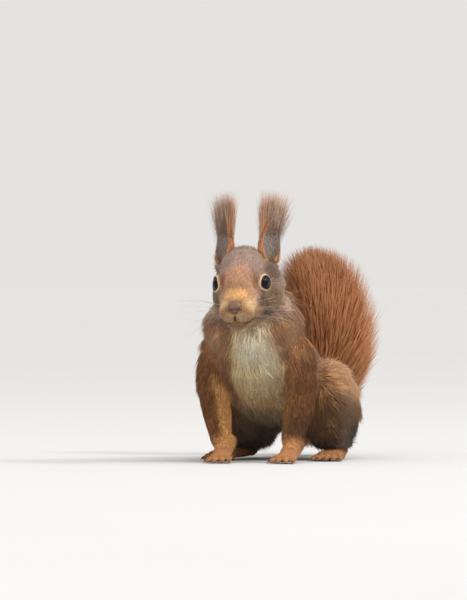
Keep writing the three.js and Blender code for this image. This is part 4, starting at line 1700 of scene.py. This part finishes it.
@dataclass
class Brush:
    """The tail's long hair, whose tips make the outline of the CAD tail."""

    count: int = 17_800
    pocket_count: int = 1_300
    pocket_middle: tuple[float, float, float] = (-4.0, 113.0, 84.0)
    pocket_size: tuple[float, float, float] = (10.0, 7.0, 9.0)
    inward: float = 0.42  # how far inside the outline the innermost hair ends, as a share of its way out
    lean: tuple[float, float] = (42.0, 7.0)  # degrees between hair and bone, and their spread

    # each piece's name, and the shares of the tail's length between which its hair ends
    BOUNDS = (("low", -1.0, 0.30), ("middle", 0.30, 0.58), ("tip", 0.58, 2.0))

    def outline(self) -> tuple[Array, Array]:
        """The surface that the hair's tips reach, as its vertices and triangles.

        Returns:
            Vertices and triangles.
        """
        shape = fused("tail_outline", ["tail_base", "tail_middle", "tail_tip"], 0.4)
        remesh(shape, 1.6)
        soften(shape, 6)
        out = points_of(shape), triangles_of(shape)
        discard(shape)
        return out

    def grow(self) -> list[Piece]:
        """Grows the brush in three lengths along the tail.

        Returns:
            The new pieces, without their material.
        """
        rng = np.random.default_rng(300)
        points, triangles = self.outline()
        corners = points[triangles]
        pick = drawn(np.cumsum(areas(corners)), self.count, rng)
        ends = (corners[pick] * rng.dirichlet((1, 1, 1), self.count)[:, :, None]).sum(1)
        # More ends fill the hollow under the curl.
        ball = unit(rng.normal(size=(self.pocket_count, 3))) * rng.random((self.pocket_count, 1)) ** (1 / 3)
        ends = np.concatenate([ends, np.array(self.pocket_middle) + ball * self.pocket_size])
        return [self.piece(bound, ends, rng) for bound in self.BOUNDS]

    @staticmethod
    def nearest(ends: Array, line: Array) -> Array:
        """Which row of a line each end is nearest to, worked out in parts to save memory."""
        parts = np.array_split(ends, 12)
        return np.concatenate([np.argmin(np.linalg.norm(part[:, None] - line, axis=2), axis=1) for part in parts])

    def piece(self, bound: tuple[str, float, float], ends: Array, rng: np.random.Generator) -> Piece:
        """Grows the hair that ends between two shares of the tail's length.

        Args:
            bound: the piece's name and those shares.
            ends: where on the outline the brush's hair ends.
            rng: the source of chance.

        Returns:
            The new piece, without its material.
        """
        name, low, high = bound
        line = curve_through(np.array(TAIL_LINE), 300)
        along = np.concatenate([[0], np.cumsum(np.linalg.norm(np.diff(line[:, :3], axis=0), axis=1))])
        whole = along[-1]
        nearest = self.nearest(ends, line[:, :3])
        chosen = (along[nearest] / whole >= low) & (along[nearest] / whole < high)
        ends, nearest = ends[chosen], nearest[chosen]
        count = len(ends)
        middle = line[nearest, :3]
        reach = np.linalg.norm(ends - middle, axis=1)
        fill = 1 - self.inward * rng.random(count) ** 2.2
        ends = middle + (ends - middle) * fill[:, None]
        lean = np.radians(np.clip(rng.normal(*self.lean, count), 26, 60))
        place = np.clip(along[nearest] - reach * fill / np.tan(lean), 0.0, whole * 0.985)
        rows, ahead, behind = (
            np.column_stack([np.interp(place + step, along, line[:, k]) for k in range(4)]) for step in (0, 1, -1)
        )
        tangent = unit((ahead - behind)[:, :3])
        out = unit(flat_on(ends - rows[:, :3], tangent))
        roots = rows[:, :3] + out * (rows[:, 3] * 0.9)[:, None]
        way = unit(ends - roots)
        lengths = np.linalg.norm(ends - roots, axis=1)
        across = unit(flat_on(np.tile([1.0, 0, 0], (count, 1)), tangent))
        turn = np.arctan2(dots(out, np.cross(across, tangent)), dots(out, across)) / (2 * math.pi) + 0.5
        top = np.clip((place / whole - max(low - 0.2, 0)) / (min(high, 1.0) - max(low - 0.2, 0)), 0, 1)
        base = np.tile(Shade.RUST.linear, (count, 1))
        light = np.exp(rng.normal(0, 0.14, count) + 0.07 * mottle(ends, 6.0, 21))[:, None]
        tufts = Tufts(
            roots=roots, normals=unit(flat_on(out, way)), flows=way, lengths=lengths,
            heights=lengths * rng.uniform(0.03, 0.1, count), widths=rng.uniform(0.34, 0.62, count),
            bends=lengths * rng.normal(0, 0.05, count), root_colours=base * 0.75, colours=base * light,
            tips=np.clip((base * 0.4 + Shade.RUST_TIP.linear * 0.6) * light, 0, 1),
            uv=0.01 + 0.98 * np.column_stack([turn, top]), shape=(0.8, 1.0, 0.0),
        )  # fmt: skip
        return tufts.solid(f"brush_{name}")


# ---- Finishes ----


@dataclass(frozen=True)
class Finish:
    """A material, and the ways to hang its nodes together."""

    name: str

    def start(self) -> tuple[bpy.types.Material, Tree, bpy.types.Node]:
        """A new material with its tree and its Principled shader."""
        material = bpy.data.materials.new(self.name)
        material.use_nodes = True
        return material, material.node_tree, material.node_tree.nodes["Principled BSDF"]

    @staticmethod
    def fill(node: bpy.types.Node, **values: object) -> None:
        """Sets a node's inputs by name, with an underscore for each space."""
        for key, value in values.items():
            node.inputs[key.replace("_", " ")].default_value = value

    @staticmethod
    def effect(tree: Tree, group: Tree, **values: object) -> bpy.types.Node:
        """Places a shared effect in a material with its own values."""
        node = tree.nodes.new("ShaderNodeGroup")
        node.node_tree = group
        Finish.fill(node, **values)
        return node


def new_group(name: str, inputs: dict[str, float], outputs: dict[str, str]) -> tuple[Tree, ...]:
    """A node group with its sockets.

    Args:
        name: the group's name.
        inputs: its number sockets and what they start at.
        outputs: its outputs and their kinds.

    Returns:
        The group, its input node and its output node.
    """
    group = bpy.data.node_groups.new(name, "ShaderNodeTree")
    for key, value in inputs.items():
        group.interface.new_socket(key, in_out="INPUT", socket_type="NodeSocketFloat").default_value = value
    for key, kind in outputs.items():
        group.interface.new_socket(key, in_out="OUTPUT", socket_type=f"NodeSocket{kind}")
    return group, group.nodes.new("NodeGroupInput"), group.nodes.new("NodeGroupOutput")


def make_grain() -> Tree:
    """The shared effect of fine grain: a mask from 0 to 1 and a bumped normal.

    Returns:
        The effect's node group.
    """
    group, start, end = new_group("grain", {"Scale": 900.0, "Bump": 0.2}, {"Mask": "Float", "Normal": "Vector"})
    nodes, link = group.nodes, group.links.new
    place, noise, bump = (nodes.new(f"ShaderNode{kind}") for kind in ("TexCoord", "TexNoise", "Bump"))
    noise.inputs["Detail"].default_value = 3.0
    bump.inputs["Distance"].default_value = 0.0003
    link(place.outputs["Object"], noise.inputs["Vector"])
    link(start.outputs["Scale"], noise.inputs["Scale"])
    link(noise.outputs["Fac"], bump.inputs["Height"])
    link(start.outputs["Bump"], bump.inputs["Strength"])
    link(noise.outputs["Fac"], end.inputs["Mask"])
    link(bump.outputs["Normal"], end.inputs["Normal"])
    return group


def make_painted() -> Tree:
    """The shared effect of the painted colours, made lighter and darker by fine noise.

    Returns:
        The effect's node group.
    """
    sockets = {"Scale": 1400.0, "Dark": 0.85, "Light": 1.15}
    group, start, end = new_group("painted", sockets, {"Color": "Color"})
    nodes, link = group.nodes, group.links.new
    kinds = ("Attribute", "TexCoord", "TexNoise", "MapRange", "VectorMath")
    tint, place, noise, spread, scale = (nodes.new(f"ShaderNode{kind}") for kind in kinds)
    tint.attribute_name = TINT
    scale.operation = "SCALE"
    noise.inputs["Detail"].default_value = 2.0
    spread.inputs["From Min"].default_value, spread.inputs["From Max"].default_value = 0.3, 0.7
    link(place.outputs["Object"], noise.inputs["Vector"])
    link(start.outputs["Scale"], noise.inputs["Scale"])
    link(noise.outputs["Fac"], spread.inputs["Value"])
    link(start.outputs["Dark"], spread.inputs["To Min"])
    link(start.outputs["Light"], spread.inputs["To Max"])
    link(tint.outputs["Color"], scale.inputs[0])
    link(spread.outputs["Result"], scale.inputs["Scale"])
    link(scale.outputs["Vector"], end.inputs["Color"])
    return group


@dataclass(frozen=True)
class PaintedFinish(Finish):
    """A finish that reads a piece's own colours: hair, skin or the nose pad."""

    roughness: float
    scale: float = 1400.0
    spread: float = 0.15
    bump: float = 0.0
    sheen: float = 0.0
    specular: float = 0.3

    def build(self, painted: Tree, grain: Tree) -> bpy.types.Material:
        """Makes the material.

        Args:
            painted: the shared effect of painted colours.
            grain: the shared grain.

        Returns:
            The material.
        """
        material, tree, shader = self.start()
        colour = self.effect(tree, painted, Scale=self.scale, Dark=1 - self.spread, Light=1 + self.spread)
        tree.links.new(colour.outputs["Color"], shader.inputs["Base Color"])
        if self.bump:
            fine = self.effect(tree, grain, Scale=self.scale, Bump=self.bump)
            tree.links.new(fine.outputs["Normal"], shader.inputs["Normal"])
        self.fill(shader, Roughness=self.roughness, Specular_IOR_Level=self.specular,
                  Sheen_Weight=self.sheen, Sheen_Roughness=0.5)  # fmt: skip
        return material


@dataclass(frozen=True)
class GrainedFinish(Finish):
    """A finish of two near colours grained together."""

    dark: tuple[float, float, float]
    light: tuple[float, float, float]
    roughness: float
    scale: float = 900.0
    bump: float = 0.1
    ior: float = 1.45

    def build(self, grain: Tree) -> bpy.types.Material:
        """Makes the material.

        Args:
            grain: the shared grain.

        Returns:
            The material.
        """
        material, tree, shader = self.start()
        fine = self.effect(tree, grain, Scale=self.scale, Bump=self.bump)
        mix = tree.nodes.new("ShaderNodeMix")
        mix.data_type = "RGBA"
        mix.inputs[6].default_value, mix.inputs[7].default_value = (*self.dark, 1.0), (*self.light, 1.0)
        tree.links.new(fine.outputs["Mask"], mix.inputs[0])
        tree.links.new(mix.outputs[2], shader.inputs["Base Color"])
        if self.bump:
            tree.links.new(fine.outputs["Normal"], shader.inputs["Normal"])
        self.fill(shader, Roughness=self.roughness, IOR=self.ior)
        return material


def dress(piece: Piece, material: bpy.types.Material) -> None:
    """Gives a piece its material and the body it rides on.

    Args:
        piece: the piece.
        material: its finish.
    """
    piece.data.materials.clear()
    piece.data.materials.append(material)
    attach(piece, BODY)
    LOG.info("%s: %d faces", piece.name, len(piece.data.polygons))


# ---- Eyes, nose, claws and whiskers ----


@dataclass(frozen=True)
class Eye:
    """One eyeball with the slight bulge of its cornea."""

    side: str
    bulge: float = 0.15

    def build(self) -> Piece:
        """Makes the eyeball.

        Returns:
            The new piece, without its material.
        """
        piece = new_ball(f"eyeball_{self.side}", 48, 28, EYE_RADIUS)
        axis = eye_axis(self.side)
        pole = unit(np.cross(axis, np.array([0, 0, 1.0])))
        points = read(piece.data.vertices, "co", 3) / MM @ np.column_stack([pole, np.cross(axis, pole), axis]).T
        angle = np.degrees(np.arccos(np.clip(unit(points) @ axis, -1, 1)))
        points = points * (1 + self.bulge / EYE_RADIUS * (1 - ramp(angle, 10, 46)))[:, None]
        set_points(piece, points + eye_centre(self.side))
        return piece


@dataclass(frozen=True)
class NosePad:
    """The bare pad with its two nostrils, wide above and narrow below."""

    size: tuple[float, float, float] = (3.7, 2.0, 3.3)
    centre: tuple[float, float, float] = (0.0, -23.4, -8.3)
    flesh: tuple[float, float, float] = (0.18, 0.08, 0.045)
    # the near black of the nostrils and the cleft: painted shade
    nostril_shade: tuple[float, float, float] = (0.02, 0.012, 0.010)

    NOSTRIL_LINE = ((0.9, -2.3, -1.0), (1.9, -2.1, -0.9), (2.8, -1.5, -0.2), (3.2, -0.8, 0.6))

    def build(self) -> Piece:
        """Makes the pad.

        Returns:
            The new piece, without its material.
        """
        piece = new_ball("nose_pad", 64, 44, 1.0)
        p = read(piece.data.vertices, "co", 3) / MM
        x, y, z = p.T
        low = np.clip(-z, 0, 1)
        local = p * self.size
        local[:, 0] *= 1 - 0.75 * low**1.2
        local[:, 1] += 0.35 * z * self.size[1] * (z > 0)
        front = y < 0.25
        cut = np.zeros(len(p))
        for sign in SIDES.values():
            wing = blob(local, (sign * 2.1, -1.2, 0.2), (1.6, 2.0, 1.6), 0.6)
            local = local + p * (0.55 * wing)[:, None]
            line = [(sign * a, b, c) for a, b, c in self.NOSTRIL_LINE]
            cut = np.maximum(cut, groove(local, line, 0.6) * front)
        cleft = groove(local, [(0, -2.3, -3.0), (0, -2.4, 0.4)], 0.3) * front
        local = local - p * (1.1 * cut + 0.6 * cleft)[:, None]
        set_points(piece, HEAD.out(local + np.array(self.centre)))
        # Painted shade: the nostrils' grooves and the cleft between them are near black.
        dark = np.clip(ramp(cut, 0.3, 0.8) + 0.6 * ramp(cleft, 0.4, 0.9), 0, 1)[:, None]
        paint(piece, np.array(self.flesh) * (1 - dark) + np.array(self.nostril_shade) * dark)
        return piece


class Whiskers:
    """Long stiff hairs on the muzzle and over the eyes."""

    def build(self) -> Piece:
        """Makes all whiskers as one piece.

        Returns:
            The new piece, without its material.
        """
        rng = np.random.default_rng(400)
        made = []
        for sign in SIDES.values():
            for row, column in product(range(3), range(3)):
                root = np.array([sign * (5.0 + 0.9 * column), -20.5 + 1.9 * column, -8.4 - 2.2 * row])
                way = np.array([sign * (0.86 + 0.04 * column), 0.28 + 0.10 * column, 0.22 - 0.20 * row])
                made.append(self.hair(root, way, 23 + 4.0 * column + rng.uniform(-4, 4), rng))
            for i in range(2):
                root, way = np.array([sign * (9.0 + i), -2.5, 6.5]), np.array([sign * 0.5, 0.25, 0.75])
                made.append(self.hair(root, way, 15 + 3 * i, rng))
        return new_piece("whiskers", *stacked(made))

    @staticmethod
    def hair(root: Array, way: Array, long: float, rng: np.random.Generator) -> tuple[Array, Array]:
        """One whisker, curving back and down."""
        way = unit(way + rng.normal(0, 0.06, 3))
        t = np.linspace(0, 1, 9)[:, None]
        path = root + way * (long * t) + np.array([0, 0.16, -0.14]) * long * t**2
        return tube(HEAD.out(path), np.linspace(0.075, 0.02, len(t)), 5)


# ---- Studio ----


@dataclass(frozen=True)
class Studio:
    """A plain pale floor, soft light and the camera."""

    azimuth: float = 15.0
    distance: float = 3.0
    height: float = 0.098
    aim: tuple[float, float] = (-20.5, -30.0)  # rightwards and ahead from the table's origin, in millimetres
    view: float = 0.318  # how many metres the frame's height shows at that distance
    shift: float = -22.0 / 600.0  # the frame's middle under the horizon, as a share of its height
    room: float = 0.78  # the brightness of the room, which the far floor has too
    floor_radius: float = 60.0
    floor_tone: float = 0.62
    sun_tilt: float = 28.0
    sun_width: float = 50.0

    LAMPS = (  # name, size, watts and place
        ("window", 0.4, 16.0, (1.7, -0.05, 1.5)),
        ("front", 1.2, 7.0, (-0.5, -2.1, 1.1)),
    )

    def build(self, grain: Tree) -> None:
        """Makes all of it.

        Args:
            grain: the shared grain.
        """
        bpy.ops.object.select_all(action="DESELECT")
        bpy.ops.mesh.primitive_circle_add(vertices=96, radius=self.floor_radius, fill_type="NGON")
        floor = bpy.context.active_object
        floor.name = "floor"
        dark, light = (self.floor_tone - 0.01,) * 3, (self.floor_tone + 0.01,) * 3
        paper = GrainedFinish("floor_paper", dark, light, roughness=1.0, scale=3.0, bump=0.0)
        floor.data.materials.append(paper.build(grain))
        self.lights()
        self.camera()

    def lights(self) -> None:
        """An even room, a very soft sun overhead, a window to the animal's left and a weak front light."""
        world = bpy.data.worlds.new("room")
        world.use_nodes = True
        background = world.node_tree.nodes["Background"]
        background.inputs["Color"].default_value = (1.0, 0.985, 0.965, 1.0)
        background.inputs["Strength"].default_value = self.room
        bpy.context.scene.world = world
        sun = bpy.data.lights.new("sun", "SUN")
        tilt = math.radians(self.sun_tilt)
        # With this sun the near floor is as bright as the room behind it.
        sun.energy = self.room * (1 - self.floor_tone) / self.floor_tone * math.pi / math.cos(tilt)
        sun.angle = math.radians(self.sun_width)
        sun.color = (1.0, 0.975, 0.94)
        placed("sun", sun).rotation_euler = (tilt * 0.3, tilt, 0.0)
        for name, size, energy, place in self.LAMPS:
            light = bpy.data.lights.new(name, "AREA")
            light.size, light.energy = size, energy
            piece = placed(name, light)
            piece.location = place
            piece.rotation_euler = (Vector((0, -0.06, 0.09)) - piece.location).to_track_quat("-Z", "Y").to_euler()

    def camera(self) -> None:
        """The camera, level and low."""
        data = bpy.data.cameras.new("camera")
        camera = placed("camera", data)
        a = math.radians(self.azimuth)
        right, ahead = np.array([math.cos(a), math.sin(a), 0.0]), np.array([-math.sin(a), math.cos(a), 0.0])
        place = to_frame(right * self.aim[0] + ahead * self.aim[1]) - ahead * self.distance
        camera.location = (place[0], place[1], self.height)
        camera.rotation_euler = (math.pi / 2, 0.0, a)
        data.sensor_fit = "VERTICAL"
        data.sensor_height = 36.0
        data.lens = data.sensor_height * self.distance / self.view
        data.shift_y = self.shift
        data.clip_end = 200.0
        bpy.context.scene.camera = camera
        bpy.context.scene.view_settings.view_transform = "Standard"


# ---- The animal ----


class Squirrel:
    """The whole animal."""

    PAIRED = ("ear", "upper_arm", "forearm", "forepaw", "thigh", "shank", "hindfoot")
    SINGLE = ("head", "neck", "trunk", "tail_base", "tail_middle", "tail_tip")

    def __init__(self, grain: Tree) -> None:
        """Makes the finishes.

        Args:
            grain: the shared grain.
        """
        self.grain, painted = grain, make_painted()
        self.fur = PaintedFinish("fur", 0.66, sheen=0.08, specular=0.22).build(painted, grain)
        self.skin_finish = PaintedFinish("skin", 0.7, 2200.0, 0.12, 0.35).build(painted, grain)
        self.nose_finish = PaintedFinish("nose_skin", 0.4, 3000.0, 0.2, 0.6, specular=0.5).build(painted, grain)
        self.anatomy = Anatomy()
        self.markings = Markings(self.anatomy)

    def build(self) -> None:
        """Builds skin, coat and small parts in that order."""
        skin = Skin(self.anatomy).build()
        self.paint_skin(skin)
        dress(skin, self.skin_finish)
        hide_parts(*self.SINGLE, *(f"{part}_{side}" for part in self.PAIRED for side in SIDES))
        self.coat(skin)
        self.small_parts()

    def paint_skin(self, skin: Piece) -> None:
        """Paints the skin with the coat's markings, a little darker.

        Args:
            skin: the skin.
        """
        points, normals = points_of(skin), normals_of(skin)
        shares, _ = self.anatomy.near(points)
        base, _ = self.markings.at(points, normals, shares)
        for side in SIDES:
            local = ear_pose(side).into(points)
            on = (ramp(local[:, 2], 0.5, 3.0) * on_ear(local))[:, None]
            base = base * (1 - on) + Shade.EAR_HOLLOW.linear * on
        tail = ramp(points[:, 1], TAIL_START - 10, TAIL_START)[:, None]
        base = base * (1 - tail) + Shade.RUST.linear * tail
        lids = np.min([beyond_lids(points, side) for side in SIDES], axis=0)
        full = np.where(lids < 26, 1.0, 0.75)[:, None]
        sole = ((points[:, 2] < 2.5) & (normals[:, 2] < -0.2))[:, None]
        paint(skin, np.where(sole, Shade.PAD_SKIN.linear, base * full))

    def coat(self, skin: Piece) -> None:
        """Grows and dresses the whole coat.

        Args:
            skin: the skin.
        """
        coat = Coat(Ground(skin), self.anatomy, self.markings)
        for index in range(len(Coat.PATCHES)):
            dress(coat.grow(index), self.fur)
        for side in SIDES:
            dress(EarCoat(coat, side).grow(), self.fur)
        for piece in Brush().grow():
            dress(piece, self.fur)

    def small_parts(self) -> None:
        """Builds and dresses eyes, nose pad, claws and whiskers."""
        gloss = GrainedFinish("eye_gloss", (0.003, 0.0025, 0.003), (0.008, 0.005, 0.004), 0.05, 400.0, 0.0, 1.25)
        glass = gloss.build(self.grain)
        for side in SIDES:
            eye = Eye(side).build()
            dress(eye, glass)
            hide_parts(f"eye_{side}")
        pad = NosePad().build()
        dress(pad, self.nose_finish)
        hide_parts("nose")
        horn = GrainedFinish("claw_horn", (0.05, 0.035, 0.025), (0.12, 0.085, 0.06), 0.35, 700.0, 0.15)
        claws = [claw for sign in SIDES.values() for paw in (FOREPAW, HINDFOOT) for claw in paw.claws(sign)]
        dress(new_piece("claws", *stacked(claws)), horn.build(self.grain))
        hair = GrainedFinish("whisker_hair", (0.30, 0.22, 0.15), (0.55, 0.45, 0.34), 0.4, 300.0, 0.0)
        dress(Whiskers().build(), hair.build(self.grain))


def main() -> None:
    """Builds the studio and the animal, and notes their sizes."""
    logging.basicConfig(level=logging.INFO, format="%(relativeCreated)7d ms %(message)s")
    grain = make_grain()
    Studio().build(grain)
    Squirrel(grain).build()


if __name__ == "__main__":
    main()
